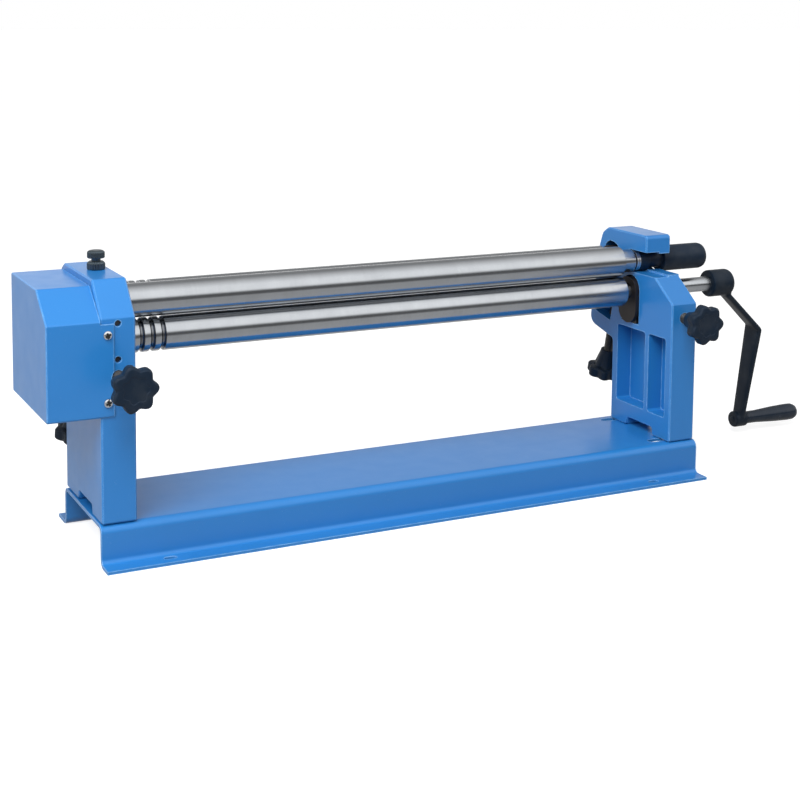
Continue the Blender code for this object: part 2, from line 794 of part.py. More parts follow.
def build_rear_blocks(bronze):
    """Rear bearing blocks on the steep slides."""
    half = rear_slot_width / 2
    outline = rear_slot_outline(rear_slot_width - 2 * SLIDE_FIT, half, half, rear_slot_round - SLIDE_FIT)
    for side, inner, inward in (("left", left_inner, 1), ("right", right_inner, -1)):
        ends = sorted((inner + inward * rear_stand_out, inner - inward * (rear_slot_depth - FIT)))
        block = put(f"rear_block_{side}", prism(outline, *ends, ALONG_X), bronze)
        start = (inner + inward * (rear_stand_out + CUT_PAST), rear_axis.y, rear_axis.z)
        end = (inner - inward * (rear_slot_depth - 2.4 * MM), rear_axis.y, rear_axis.z)
        cut(block, "bore", rod(rear_journal_diameter / 2 + FIT, start, end, ROUND))


def star(radius, valley):
    """Outline of a star knob whose lobes swell and fall as a cosine."""
    points = []
    count = knob_lobes * knob_steps
    for k in range(count):
        turn = 2 * pi * k / count
        swell = (1 + cos(knob_lobes * turn)) / 2
        reach = valley + (radius - valley) * swell ** 0.8
        points.append((reach * cos(turn), reach * sin(turn)))
    return points


def knob_mesh(face, outward):
    """Star knob on a conical hub, whose outer face stands at the point and looks outward."""
    big = knob_diameter / 2
    dip = knob_valley / 2
    count = knob_lobes * knob_steps
    rings = [
        (circle(knob_hub_small / 2, count), -knob_head - knob_hub_length),
        (circle(knob_hub_large / 2, count), -knob_head),
        (star(big - knob_edge / 2, dip - knob_edge / 2), -knob_head),
        (star(big, dip), -knob_head + knob_edge / 2),
        (star(big, dip), -knob_edge),
        (star(big - knob_edge, dip - knob_edge), 0),
    ]
    return stacked(rings, along(outward, face))


def build_adjusters(black, steel):
    """Front and rear adjusting screws with their star knobs."""
    for side, x, face in (("left", left_middle, left_knob_face), ("right", right_middle, right_knob_face)):
        tip = Vector((x, shoe_front - FIT, front_screw_z))
        outward = Vector((0, -1, 0))
        face_at = Vector((x, face, front_screw_z))
        add_adjuster(f"front_{side}", tip, outward, face_at, black, steel)
        tip = Vector((x, rear_axis_y, rear_axis_z)) + slide_down * (rear_slot_width / 2 + FIT)
        face_at = Vector((x, rear_axis_y, rear_axis_z)) + slide_down * rear_knob_drop
        add_adjuster(f"rear_{side}", tip, slide_down, face_at, black, steel)


def add_adjuster(name, tip, outward, face, black, steel):
    """One screw from its tip to inside its knob, and the knob."""
    inner = face - outward * (knob_head + knob_hub_length)
    end = inner + outward * (knob_bore_depth - FIT)
    reach = (end - tip).length
    r = screw_diameter / 2
    dog = dog_diameter / 2
    full = dog_length + thread_chamfer
    profile = [(dog, 0), (dog, dog_length), (r - thread_chamfer, dog_length), (r, full), (r, reach)]
    end_word, side = name.split("_")
    put(f"{end_word}_screw_{side}", turned(profile, along(outward, tip), SMALL_ROUND), steel, origin=tip)
    knob = put(f"{end_word}_knob_{side}", knob_mesh(face, outward), black, origin=face, sharp=40)
    cut(knob, "bore", rod(r + FIT, inner - outward * CUT_PAST, end + outward * FIT))


def build_release(black, steel):
    """Journal bush, thrust rings and pull-out sleeve on the crank end of the top roll."""
    y, z = top_axis.y, top_axis.z
    shaft = end_shaft / 2
    start = right_inner + FIT
    split = right_outer - lip_depth
    ring_r = bush_diameter / 2
    for k in range(2):
        low = start + k * (thrust_ring + FIT)
        ring = hollow(low, low + thrust_ring, ring_r, shaft + FIT, top_axis)
        put(f"thrust_ring_{k + 1}", ring, steel, origin=top_axis)
    low = start + 2 * (thrust_ring + FIT)
    put("journal_bush", hollow(low, split - FIT, ring_r, shaft + FIT, top_axis), black, origin=top_axis)
    big = handle_diameter / 2
    end = handle_end
    profile = [
        (sleeve_nose / 2, split), (sleeve_nose / 2, handle_start), (big - 1 * MM, handle_start),
        (big, handle_start + 1 * MM), (big, end - 9 * MM), (big - 1.5 * MM, end - 4.5 * MM),
        (big - 5 * MM, end - 1 * MM), (big - 9 * MM, end),
    ]
    sleeve = put("release_sleeve", turned(profile, along_x(top_axis)), black, origin=top_axis)
    cut(sleeve, "bore", rod(shaft + FIT, (split - CUT_PAST, y, z), (handle_start + handle_bore + FIT, y, z)))


def hollow(start, end, outside, inside, axis, count=ROUND):
    """Mesh of a round tube along X."""
    bm = bmesh.new()
    rings = []
    for radius, w in ((inside, start), (outside, start), (outside, end), (inside, end)):
        rings.append([bm.verts.new((u, v, w)) for u, v in circle(radius, count)])
    for a, b in zip(rings, rings[1:] + rings[:1]):
        for k in range(count):
            n = (k + 1) % count
            bm.faces.new((a[k], a[n], b[n], b[k]))
    bmesh.ops.transform(bm, matrix=along_x(axis), verts=bm.verts)
    bmesh.ops.recalc_face_normals(bm, faces=bm.faces)
    return bm


def build_lock(black, brass):
    """Thumb screw, knurled collar and brass pad on top of the gear end frame."""
    y = lower_axis_y
    upright = Matrix.Translation(Vector((swivel_x, y, 0)))
    pad_low = top_axis_z + sleeve_outside / 2 + FIT
    pad_high = pad_low + lock_pad_height
    r = lock_neck / 2
    pad = turned([(r, pad_low), (r, pad_high)], upright, SMALL_ROUND)
    put("lock_pad", pad, brass, origin=(swivel_x, y, 0))
    low = left_top + FIT
    high = low + collar_height
    ring = collar_diameter / 2
    profile = [
        (ring - 0.5 * MM, low), (ring, low + 0.5 * MM), (ring, high - 2.4 * MM), (ring - 2.6 * MM, high),
    ]
    collar = put("lock_collar", turned(profile, upright, 24), black, origin=(swivel_x, y, 0))
    cut(collar, "bore", rod(r + FIT, (swivel_x, y, low - CUT_PAST), (swivel_x, y, high + CUT_PAST)))
    cap = cap_diameter / 2
    neck_top = high + lock_neck_height
    profile = [
        (r, pad_high + FIT), (r, neck_top), (cap - 0.8 * MM, neck_top), (cap, neck_top + 0.8 * MM),
        (cap, neck_top + cap_height - 2 * MM), (cap - 2 * MM, neck_top + cap_height - 0.4 * MM),
        (cap * 0.5, neck_top + cap_height),
    ]
    put("lock_screw", turned(profile, upright, 24), black, origin=(swivel_x, y, 0))


def build_crank(black, steel):
    """Cast crank with its hub, cranked arm and boss, the turning grip and its spindle."""
    axis = lower_axis
    side = Vector((1, 0, 0)).cross(crank_out)
    plane = Matrix((
        (1, crank_out.x, side.x, 0), (0, crank_out.y, side.y, axis.y), (0, crank_out.z, side.z, axis.z), (0, 0, 0, 1),
    ))
    root = hub_end - arm_root_width / 2
    knee_half = arm_knee_width / 2
    tip_half = arm_tip_width / 2
    start = hub_diameter / 4
    slant = 0.7
    corners = [
        (root - arm_root_width / 2, start, 0), (root + arm_root_width / 2, start, 0),
        (root + arm_root_width / 2, hub_diameter / 2 + 3 * MM, 4 * MM),
        (crank_plane_x + knee_half, crank_knee + knee_half * slant, 4 * MM),
        (crank_plane_x + tip_half, crank_radius, 0), (crank_plane_x - tip_half, crank_radius, 0),
        (crank_plane_x - knee_half, crank_knee - knee_half * slant, 4 * MM),
        (root - arm_root_width / 2, hub_diameter / 2 - 1 * MM, 4 * MM),
    ]
    flat = prism(rounded(corners), -arm_thickness / 2, arm_thickness / 2, plane)
    arm = put("crank_arm", flat, black, origin=axis)
    soften(arm, 1.5 * MM)
    r = hub_diameter / 2
    edge = 2 * MM
    hub = [(r - edge, hub_start), (r, hub_start + edge), (r, hub_end - edge), (r - edge, hub_end)]
    add(arm, "hub", turned(hub, along_x(axis)))
    tip = axis + crank_out * crank_radius
    r = boss_diameter / 2
    low = crank_plane_x - boss_length / 2
    high = crank_plane_x + boss_length / 2
    boss = [(r - edge, low), (r, low + edge), (r, high - edge), (r - edge, high)]
    add(arm, "boss", turned(boss, along_x(tip), 24))
    cut(arm, "shaft_bore", rod(journal_diameter / 2 + FIT, (hub_start - CUT_PAST, axis.y, axis.z),
                               (shaft_end + FIT, axis.y, axis.z), 28))
    spindle = spindle_diameter / 2
    cut(arm, "spindle_bore", rod(spindle + FIT, (low + 4 * MM, tip.y, tip.z), (high + CUT_PAST, tip.y, tip.z)))

    grip_start = high + 2 * FIT
    grip_end = grip_start + grip_length
    inner = grip_start + grip_length * 0.72
    pin = rod(spindle, (low + 4 * MM + FIT, tip.y, tip.z), (inner - FIT, tip.y, tip.z))
    put("grip_spindle", pin, steel, origin=tip)
    small, large = grip_small / 2, grip_large / 2
    profile = [
        (small - 1 * MM, grip_start), (small, grip_start + 1 * MM), (small + 0.2 * MM, grip_start + grip_length * 0.2),
        (large * 0.93, grip_start + grip_length * 0.55), (large, grip_start + grip_length * 0.82),
        (large * 0.97, grip_end - 8 * MM), (large * 0.82, grip_end - 3 * MM), (large * 0.45, grip_end - 0.4 * MM),
        (0, grip_end),
    ]
    grip = put("crank_grip", turned(profile, along_x(tip), 24), black, origin=tip)
    cut(grip, "bore", rod(spindle + FIT, (grip_start - CUT_PAST, tip.y, tip.z), (inner, tip.y, tip.z)))
    screw_x = hub_start + hub_length * 0.35
    outer = axis - crank_out * (hub_diameter / 2)
    start = Vector((screw_x, outer.y, outer.z))
    seat = start + crank_out * 7 * MM
    cut(arm, "set_screw_bore", rod(4 * MM + FIT, start - crank_out * CUT_PAST, seat, TINY_ROUND))
    screw = rod(4 * MM, start + crank_out * 1 * MM, seat - crank_out * FIT, TINY_ROUND)
    put("crank_set_screw", screw, steel)


def build_cover(paint, steel):
    """Bent sheet cover over the gears, open towards the frame, with its front flange and screws."""
    front = cover_front
    flange_end = left_outer + cover_flange
    t = cover_sheet
    corners = [
        (front, cover_low, cover_round), (cover_back, cover_low, cover_round),
        (cover_back, cover_top, cover_round), (cover_chamfer_y, cover_top, cover_round),
        (front, cover_chamfer_z, cover_round),
    ]
    cover = put("gear_cover", prism(rounded(corners), cover_left, flange_end, ALONG_X), paint)
    soften(cover, 1 * MM)
    ease = 0.4 * t
    hollow_corners = [
        (front + t, cover_low + t, 1 * MM), (cover_back - t, cover_low + t, 1 * MM),
        (cover_back - t, cover_top - t, 1 * MM), (cover_chamfer_y + ease, cover_top - t, 0),
        (front + t, cover_chamfer_z - ease, 0),
    ]
    edge = left_outer - FIT
    cut(cover, "hollow", prism(rounded(hollow_corners), cover_left + t, edge + CUT_PAST, ALONG_X))
    past = 40 * MM
    far = (flange_end + past, cover_back + past, cover_top + past)
    cut(cover, "behind_flange", box((edge, front + t, cover_low - past), far))
    cut(cover, "over_flange", box((edge, front - past, cover_chamfer_z - cover_flange_drop), far))
    r = screw_diameter / 2 + cover_notch_room
    notch = rod(r, (left_middle, front - CUT_PAST, front_screw_z), (left_middle, front + t + CUT_PAST, front_screw_z))
    cut(cover, "screw_notch", notch)
    for label, z in (("low", cover_screw_low), ("high", cover_screw_high)):
        x = cover_screw_x
        r = cover_screw_shank / 2 + FIT
        hole = rod(r, (x, front - CUT_PAST, z), (x, front + t + CUT_PAST, z), TINY_ROUND)
        cut(cover, f"screw_hole_{label}", hole)
        r = cover_screw_head / 2
        shank = cover_screw_shank / 2
        profile = [
            (shank, FIT - t - cover_front_gap - cover_screw_depth), (shank, FIT), (r, FIT), (r, 1 * MM), (r * 0.8, 2.2 * MM), (r * 0.4, 2.9 * MM),
            (0, 3.1 * MM),
        ]
        put(f"cover_screw_{label}", turned(profile, along((0, -1, 0), (x, front, z)), 16), steel)


def build_fasteners(dark):
    """Hex bolts that hold the frames from below, and the two set screws in the gear end frame."""
    under = base_height - base_sheet - FIT
    count = 0
    for x in (left_middle, right_middle):
        for y in (bolt_front_y, bolt_back_y):
            place = Matrix.Translation(Vector((x, y, 0)))
            head = prism(circle(bolt_head / 2 / cos(pi / 6), 6), under - bolt_head_height, under, place)
            r = bolt_diameter / 2
            shank = turned([(r, under - 1 * MM), (r, base_height + bolt_reach - FIT)], place, TINY_ROUND)
            count += 1
            bolt = put(f"frame_bolt_{count}", head, dark)
            add(bolt, "shank", shank)
    for label, z in (("top", set_screw_high), ("low", set_screw_low)):
        start = left_front + set_screw_recess
        end = start + set_screw_length
        screw = rod(set_screw_diameter / 2, (left_middle, start, z), (left_middle, end, z), TINY_ROUND)
        put(f"frame_set_screw_{label}", screw, dark)


def build():
    """Make every piece."""
    clear_scene()
    paint = material("blue_paint", BLUE, 0.38, 0.0)
    black = material("black_plastic", BLACK, 0.42, 0.0)
    cast = material("black_casting", BLACK, 0.5, 0.2)
    steel = material("ground_steel", STEEL, 0.25, 1.0)
    dark = material("dark_steel", (0.12, 0.12, 0.13), 0.45, 0.9)
    bronze = material("bronze", (0.23, 0.13, 0.08), 0.5, 0.8)
    brass = material("brass", (0.6, 0.42, 0.16), 0.35, 1.0)
    build_base(paint)
    build_left_frame(paint)
    build_right_frame(paint)
    build_rolls(steel)
    build_gears(steel, dark)
    build_lower_blocks(bronze, steel)
    build_rear_blocks(bronze)
    build_adjusters(black, dark)
    build_release(black, steel)
    build_lock(black, brass)
    build_crank(cast, steel)
    build_cover(paint, steel)
    build_fasteners(dark)


build()
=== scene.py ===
"""Studio scene of a hand-cranked three-roll bending machine, dressed over its working frame.

Metres throughout: X runs along the rolls from the gear end to the crank end, Y from the front to
the back, Z up, and the bench top is Z = 0.
"""

import bmesh
import bpy
import numpy as np
from math import cos, pi, radians, sin
from mathutils import Matrix, Vector


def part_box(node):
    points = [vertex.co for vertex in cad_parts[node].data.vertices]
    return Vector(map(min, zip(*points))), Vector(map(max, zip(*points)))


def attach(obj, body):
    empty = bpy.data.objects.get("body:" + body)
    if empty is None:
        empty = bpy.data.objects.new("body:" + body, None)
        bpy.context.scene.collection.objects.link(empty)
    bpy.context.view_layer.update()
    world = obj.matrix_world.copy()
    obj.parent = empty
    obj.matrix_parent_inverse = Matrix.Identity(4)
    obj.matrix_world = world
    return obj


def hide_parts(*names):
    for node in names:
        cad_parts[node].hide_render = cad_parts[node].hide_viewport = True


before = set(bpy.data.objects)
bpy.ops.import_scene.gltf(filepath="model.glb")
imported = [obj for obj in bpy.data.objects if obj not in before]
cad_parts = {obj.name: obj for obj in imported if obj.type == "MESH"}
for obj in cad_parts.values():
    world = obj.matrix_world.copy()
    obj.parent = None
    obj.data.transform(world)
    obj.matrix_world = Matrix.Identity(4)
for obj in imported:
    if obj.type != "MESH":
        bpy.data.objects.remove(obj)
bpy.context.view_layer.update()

MM = 0.001

# Fineness: two small lengths, points round a turned shape, and angles in degrees past which an
# edge stays sharp
HAIR = 0.05 * MM
AXIS_END = 0.1 * MM
AROUND = 96
AROUND_SMALL = 40
SHARP = 35
SHARP_HEAD = 40
SHARP_KNOB = 50
SHARP_RIM = 60

# Rounding of the edges of castings, sheet, blocks and plates
casting_edge = 0.9 * MM
cover_edge = 0.7 * MM
base_edge = 0.6 * MM
block_edge = 0.5 * MM
plate_edge = 0.9 * MM

# Rolls
roll_radius = 21 * MM
roll_left = -360 * MM
roll_right = 360 * MM
roll_edge = 1.2 * MM
journal_radius = 10.7 * MM
rear_journal_radius = 9 * MM
groove_radius = 3 * MM
groove_lip = 0.5 * MM
groove_burr = 0.1 * MM
first_groove = 16 * MM
groove_pitch = 13.5 * MM
groove_count = 3
# Painted shade in the wire grooves: how deep a face lies, and the middle and reach of the grooves
# along X
groove_shade_depth = 0.9 * MM
groove_shade_middle = 30 * MM
groove_shade_reach = 22 * MM

# Top roll: its crank end, and the ball and cross pin of its swivel
top_roll_right = 355 * MM
neck_radius = 16 * MM
neck_length = 20 * MM
end_shaft_radius = 8 * MM
ball_radius = 10.5 * MM
ball_sweep = radians(142)
ball_neck_radius = 6.5 * MM
spigot_radius = 12.8 * MM
pin_radius = 2.5 * MM
pin_end_radius = 1.8 * MM
pin_half = 14 * MM
pin_straight = 13.4 * MM

# Washers, bush and sleeve on the top roll's end shaft
sleeve_bore = 8.3 * MM
bush_radius = 15 * MM
nose_radius = 12.1 * MM
nose_length = 22.5 * MM

# Base: how far its front edge lies before the middle of its top
base_foot_front = 107.3 * MM

# Star knobs, adjusting screws, and the slide of the rear roll
knob_radius = 27.5 * MM
knob_valley = 22.5 * MM
knob_lobes = 7
lobe_facets = 24
lobe_power = 0.8
knob_head = 15 * MM
knob_hub = 26 * MM
knob_hub_small = 11.25 * MM
knob_hub_large = 18.5 * MM
knob_bore = 22 * MM
knob_bore_radius = 8.2 * MM
knob_head_blend = 1.2 * MM
rib_depth = 0.09
rib_power = 0.6
slide_lean = radians(77.5)
rear_knob_drop = 185 * MM
rear_block_half = 20 * MM
rear_screw_gap = 0.3 * MM
screw_radius = 7.3 * MM
screw_pitch = 2 * MM
screw_plain = 9 * MM
dog_radius = 4.2 * MM
thread_depth = 0.95 * MM
thread_steepness = 1.25
thread_crest = 0.12
thread_facets = 48
rows_per_turn = 10

# Crank
crank_lean = radians(10.3)
crank_radius = 226.4 * MM
crank_plane_x = 609.9 * MM
crank_knee = 76.3 * MM
hub_start = 511 * MM
hub_length = 37 * MM
hub_radius = 19.5 * MM
hub_dome = 2.5 * MM
boss_radius = 12 * MM
boss_length = 22 * MM
arm_root_in = 3 * MM
arm_knee_out = 1.3 * MM
arm_half_widths = [14.6 * MM, 17.2 * MM, 11.4 * MM]
arm_half_thickness = 4.4 * MM
arm_side_power = 0.42
arm_face_power = 0.7
arm_rows = 110
casting_voxel = 0.9 * MM
grip_bore = 4.4 * MM
set_screw_radius = 3.9 * MM
rivet_shank = 3.9 * MM
rivet_radius = 4.6 * MM

# Lock screw and its collar
collar_radius = 10.9 * MM
collar_bore = 5.9 * MM
collar_teeth = 22
collar_tooth = 1.2 * MM
knurl_start = 9 * MM
knurl_fade = 1 * MM
knurl_facets = 8
knurl_power = 1.5
cap_radius = 10.5 * MM
cap_height = 9.4 * MM
cap_teeth = 28
cap_tooth = 0.8 * MM
lock_shank_radius = 5.5 * MM

# Screws of the cover
head_growth = 1.2
head_height = 2.9 * MM
head_rings = 40
dome_power = 2.6
head_lift = 0.3 * MM
head_turn = radians(24)
cross_half = 1.15 * MM
cross_reach = 3.4 * MM
cross_depth = 2.2 * MM
cross_side = 0.3 * MM
cross_end = 0.5 * MM
recess_height = 1.9 * MM
recess_radius = 3.3 * MM
shank_radius = 2 * MM
shank_depth = 9 * MM

# Studio, with the camera's place measured from the middle of the base's top
AMBIENT = 0.36
FLOOR_GLOW = 0.8
floor_half = 30.0
camera_lens = 69.344
camera_shift = -0.299
camera_turn = -0.4626, 0.1035, 0.0095
camera_place = -0.8807, -1.7622, 0.6507


def axis_of(node):
    """(y, z) in the middle of a node's box, where its turning axis along X runs."""
    low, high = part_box(node)
    return (low[1] + high[1]) / 2, (low[2] + high[2]) / 2


lower_y, lower_z = axis_of("lower_roll")
top_y, top_z = axis_of("top_roll")
rear_y, rear_z = axis_of("rear_roll")
left_screw_x = sum(corner[0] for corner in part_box("front_screw_left")) / 2
right_screw_x = sum(corner[0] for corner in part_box("front_screw_right")) / 2
front_screw_z = sum(corner[2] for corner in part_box("front_screw_left")) / 2
middle_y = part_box("base_plate")[0][1] + base_foot_front
slide_down = Vector((0, cos(slide_lean), -sin(slide_lean)))
boss_start = crank_plane_x - boss_length / 2
boss_end = crank_plane_x + boss_length / 2


# Surfaces


def along(direction, origin):
    """Matrix with its third column along the direction and its origin at the point."""
    turn = Vector(direction).normalized().to_track_quat("Z", "Y").to_matrix().to_4x4()
    return np.array(Matrix.Translation(Vector(origin)) @ turn)


def on_x(y, z):
    """Matrix that lays a turned shape's axis along X through (y, z)."""
    return np.array(((0, 0, 1, 0), (1, 0, 0, y), (0, 1, 0, z), (0, 0, 0, 1)), dtype=float)


def carry(points, place):
    """Points moved by a 4 x 4 matrix."""
    return points @ place[:3, :3].T + place[:3, 3]


def piece(name, points, faces, finish, smooth=SHARP):
    """Mesh object at the origin from arrays of points and quads, outwards and shaded smooth."""
    mesh = bpy.data.meshes.new(name)
    mesh.from_pydata(points.tolist(), [], faces)
    bm = bmesh.new()
    bm.from_mesh(mesh)
    bmesh.ops.remove_doubles(bm, verts=bm.verts, dist=1e-6)
    bmesh.ops.recalc_face_normals(bm, faces=bm.faces)
    bm.to_mesh(mesh)
    bm.free()
    mesh.materials.append(finish)
    mesh.shade_smooth()
    mesh.set_sharp_from_angle(angle=radians(smooth))
    made = bpy.data.objects.new(name, mesh)
    bpy.context.scene.collection.objects.link(made)
    return made


def lattice(rows, columns, caps=True):
    """Quads over a grid of rows x columns points, closed round the columns, with flat end caps."""
    k = np.arange(rows - 1)[:, None] * columns
    i = np.arange(columns)[None, :]
    n = (i + 1) % columns
    quads = np.stack((k + i, k + n, k + columns + n, k + columns + i), -1).reshape(-1, 4).tolist()
    if caps:
        quads.append(list(range(columns)))
        quads.append(list(range((rows - 1) * columns, rows * columns)))
    return quads


def eased(corners, steps=6):
    """Open profile through (r, s, radius) corners, each radius an arc of short steps."""
    made = [np.array(corners[0][:2])]
    for before, here, after in zip(corners, corners[1:], corners[2:]):
        point = np.array(here[:2], dtype=float)
        back = np.array(before[:2]) - point
        ahead = np.array(after[:2]) - point
        back_length, ahead_length = np.linalg.norm(back), np.linalg.norm(ahead)
        back, ahead = back / back_length, ahead / ahead_length
        half = np.arccos(np.clip(back @ ahead, -1, 1)) / 2
        if here[2] <= 0 or half > 1.55:
            made.append(point)
            continue
        setback = min(here[2] / np.tan(half), 0.49 * back_length, 0.49 * ahead_length)
        arc = setback * np.tan(half)
        middle = point + (back + ahead) / np.linalg.norm(back + ahead) * arc / np.sin(half)
        start, end = point + back * setback - middle, point + ahead * setback - middle
        sweep = np.arctan2(start[0] * end[1] - start[1] * end[0], start @ end)
        for turn in np.linspace(0, sweep, steps):
            c, s = np.cos(turn), np.sin(turn)
            made.append(middle + (c * start[0] - s * start[1], s * start[0] + c * start[1]))
    made.append(np.array(corners[-1][:2]))
    return np.array(made)


def swept(profile, around, shape=None):
    """Grid of points, (r cos t, r sin t, s) for each (r, s) of the profile and each angle t.

    shape(theta, r, s) may change the radius round the axis, for lobes, knurls and threads.
    """
    theta = np.linspace(0, 2 * pi, around, endpoint=False)[None, :]
    r = profile[:, 0][:, None] + 0 * theta
    s = profile[:, 1][:, None] + 0 * theta
    if shape is not None:
        r = shape(theta, r, s)
    return np.stack((r * np.cos(theta), r * np.sin(theta), s), -1).reshape(-1, 3)


def turned(name, profile, place, finish, around=AROUND, shape=None, smooth=SHARP):
    """Surface of revolution of an open (r, s) profile, closed at both ends by flat caps."""
    points = carry(swept(profile, around, shape), place)
    return piece(name, points, lattice(len(profile), around), finish, smooth)


def second_finish(thing, finish, inside):
    """A second finish on the faces whose centres pass the test: painted shade in a recess or a
    groove.
    """
    mesh = thing.data
    mesh.materials.append(finish)
    centres = np.empty(3 * len(mesh.polygons), dtype=np.float32)
    mesh.polygons.foreach_get("center", centres)
    mesh.polygons.foreach_set("material_index", inside(centres.reshape(-1, 3)).astype(np.int32))


def ring(name, corners, place, finish):
    """Closed ring: a closed (r, s) section swept round the axis."""
    closed = eased(list(corners) + [corners[0], corners[1]])[1:]
    faces = lattice(len(closed), AROUND, caps=False)
    return piece(name, carry(swept(closed, AROUND), place), faces, finish)


def dressed(node, finish, width):
    """Copy of a CAD node with its flats merged and its sharp edges rounded to the width."""
    edge_angle = radians(38)
    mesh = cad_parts[node].data.copy()
    bm = bmesh.new()
    bm.from_mesh(mesh)
    bmesh.ops.remove_doubles(bm, verts=bm.verts, dist=2e-6)
    bmesh.ops.dissolve_limit(bm, angle_limit=radians(0.6), verts=bm.verts, edges=bm.edges)
    bm.to_mesh(mesh)
    bm.free()
    mesh.materials.clear()
    mesh.materials.append(finish)
    mesh.shade_smooth()
    mesh.set_sharp_from_angle(angle=edge_angle)
    made = bpy.data.objects.new(f"{node}_finished", mesh)
    bpy.context.scene.collection.objects.link(made)
    bevel = made.modifiers.new("rounding", "BEVEL")
    bevel.width = width
    bevel.segments = 3
    bevel.limit_method = "ANGLE"
    bevel.angle_limit = edge_angle
    bevel.miter_outer = "MITER_ARC"
    bevel.use_clamp_overlap = True
    weigh = made.modifiers.new("flat_shading", "WEIGHTED_NORMAL")
    weigh.keep_sharp = True
    weigh.weight = 80
    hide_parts(node)
    return made


# Shader node groups


def group(name, inputs, outputs):
    """New shader node group with float, colour or vector sockets."""
    tree = bpy.data.node_groups.new(name, "ShaderNodeTree")
    kinds = {"value": "NodeSocketFloat", "colour": "NodeSocketColor", "vector": "NodeSocketVector"}
    for label, kind, default in inputs:
        socket = tree.interface.new_socket(name=label, in_out="INPUT", socket_type=kinds[kind])
        if default is not None:
            socket.default_value = default
    for label, kind in outputs:
        tree.interface.new_socket(name=label, in_out="OUTPUT", socket_type=kinds[kind])
    tree.nodes.new("NodeGroupInput").name = "in"
    tree.nodes.new("NodeGroupOutput").name = "out"
    return tree


def node(tree, kind, settings=None, **links):
    """New node; settings are its properties, links fill its inputs with values or other sockets,
    by name or as i0, i1 and so on."""
    made = tree.nodes.new(f"ShaderNode{kind}")
    for key, value in (settings or {}).items():
        setattr(made, key, value)
    for key, value in links.items():
        numbered = key[0] == "i" and key[1:].isdigit()
        socket = made.inputs[int(key[1:]) if numbered else key.replace("_", " ")]
        if isinstance(value, bpy.types.NodeSocket):
            tree.links.new(value, socket)
        else:
            socket.default_value = value
    return made


def maths(tree, operation, a, b=0.0, c=0.0, clamp=False):
    """Output of a Math node."""
    settings = {"operation": operation, "use_clamp": clamp}
    return node(tree, "Math", settings, i0=a, i1=b, i2=c).outputs[0]


def drift(tree, factor, amount, base, clamp=False):
    """Output of base + (factor - 0.5) * amount, for a factor that wanders round its middle."""
    return maths(tree, "MULTIPLY_ADD", maths(tree, "SUBTRACT", factor, 0.5), amount, base, clamp)


def blend(tree, factor, a, b):
    """Output of a colour Mix node."""
    made = tree.nodes.new("ShaderNodeMix")
    made.data_type = "RGBA"
    for index, value in ((0, factor), (6, a), (7, b)):
        if isinstance(value, bpy.types.NodeSocket):
            tree.links.new(value, made.inputs[index])
        else:
            made.inputs[index].default_value = value
    return made.outputs[2]


def span(tree, value, low, high, to_low=0.0, to_high=1.0):
    """Output of a clamped Map Range node."""
    made = node(tree, "MapRange", {"clamp": True})
    for index, item in enumerate((value, low, high, to_low, to_high)):
        if isinstance(item, bpy.types.NodeSocket):
            tree.links.new(item, made.inputs[index])
        else:
            made.inputs[index].default_value = item
    return made.outputs[0]


def noise(tree, where, scale, detail=2.0, rough=0.5):
    """Factor of a Noise texture at a scale given in waves for each metre."""
    made = node(tree, "TexNoise", Vector=where, Scale=scale, Detail=detail, Roughness=rough)
    return made.outputs[0]


def edge_wear_and_highlight_group():
    """Mask of outer edges: where the normal of a rounded copy departs from the true normal. It lays
    a painted highlight on the enamel's edges and lighter rubbed edges on the darker finishes.
    """
    tree = group(
        "edge wear and painted highlight",
        [("Radius", "value", 0.0012), ("Amount", "value", 1.0)],
        [("Mask", "value")],
    )
    given, out = tree.nodes["in"].outputs, tree.nodes["out"].inputs
    soft = node(tree, "Bevel", {"samples": 6}, Radius=given["Radius"]).outputs[0]
    true = node(tree, "NewGeometry").outputs["Normal"]
    dot = node(tree, "VectorMath", {"operation": "DOT_PRODUCT"}, i0=soft, i1=true).outputs["Value"]
    where = node(tree, "TexCoord").outputs["Object"]
    patch = span(tree, noise(tree, where, 90, 3), 0.3, 0.7, 0.35, 1.0)
    edge = span(tree, dot, 0.99, 0.86)
    patchy = maths(tree, "MULTIPLY", edge, patch)
    mask = maths(tree, "MULTIPLY", patchy, given["Amount"], clamp=True)
    tree.links.new(mask, out["Mask"])
    return tree


def enamel_group():
    """Sprayed enamel: slow shade drift, fine orange peel and dust specks."""
    tree = group(
        "sprayed enamel",
        [("Colour", "colour", (0.1, 0.3, 0.7, 1)), ("Drift", "value", 0.06),
         ("Peel", "value", 0.15), ("Gloss", "value", 0.35)],
        [("Colour", "colour"), ("Roughness", "value"), ("Normal", "vector")],
    )
    given, out = tree.nodes["in"].outputs, tree.nodes["out"].inputs
    where = node(tree, "TexCoord").outputs["Object"]
    slow = noise(tree, where, 7, 3)
    shade = node(tree, "HueSaturation", Color=given["Colour"])
    tree.links.new(drift(tree, slow, given["Drift"], 1.0), shade.inputs["Value"])
    speck = span(tree, noise(tree, where, 900, 1), 0.76, 0.84)
    dust = maths(tree, "MULTIPLY", speck, 0.16)
    dusty = blend(tree, dust, shade.outputs[0], (0.75, 0.8, 0.88, 1))
    tree.links.new(dusty, out["Colour"])
    haze = noise(tree, where, 38, 4)
    rough = drift(tree, haze, 0.14, given["Gloss"], clamp=True)
    tree.links.new(rough, out["Roughness"])
    peel = noise(tree, where, 420, 2, 0.6)
    bump = node(tree, "Bump", Strength=given["Peel"], Distance=0.0003, Height=peel)
    tree.links.new(bump.outputs[0], out["Normal"])
    return tree


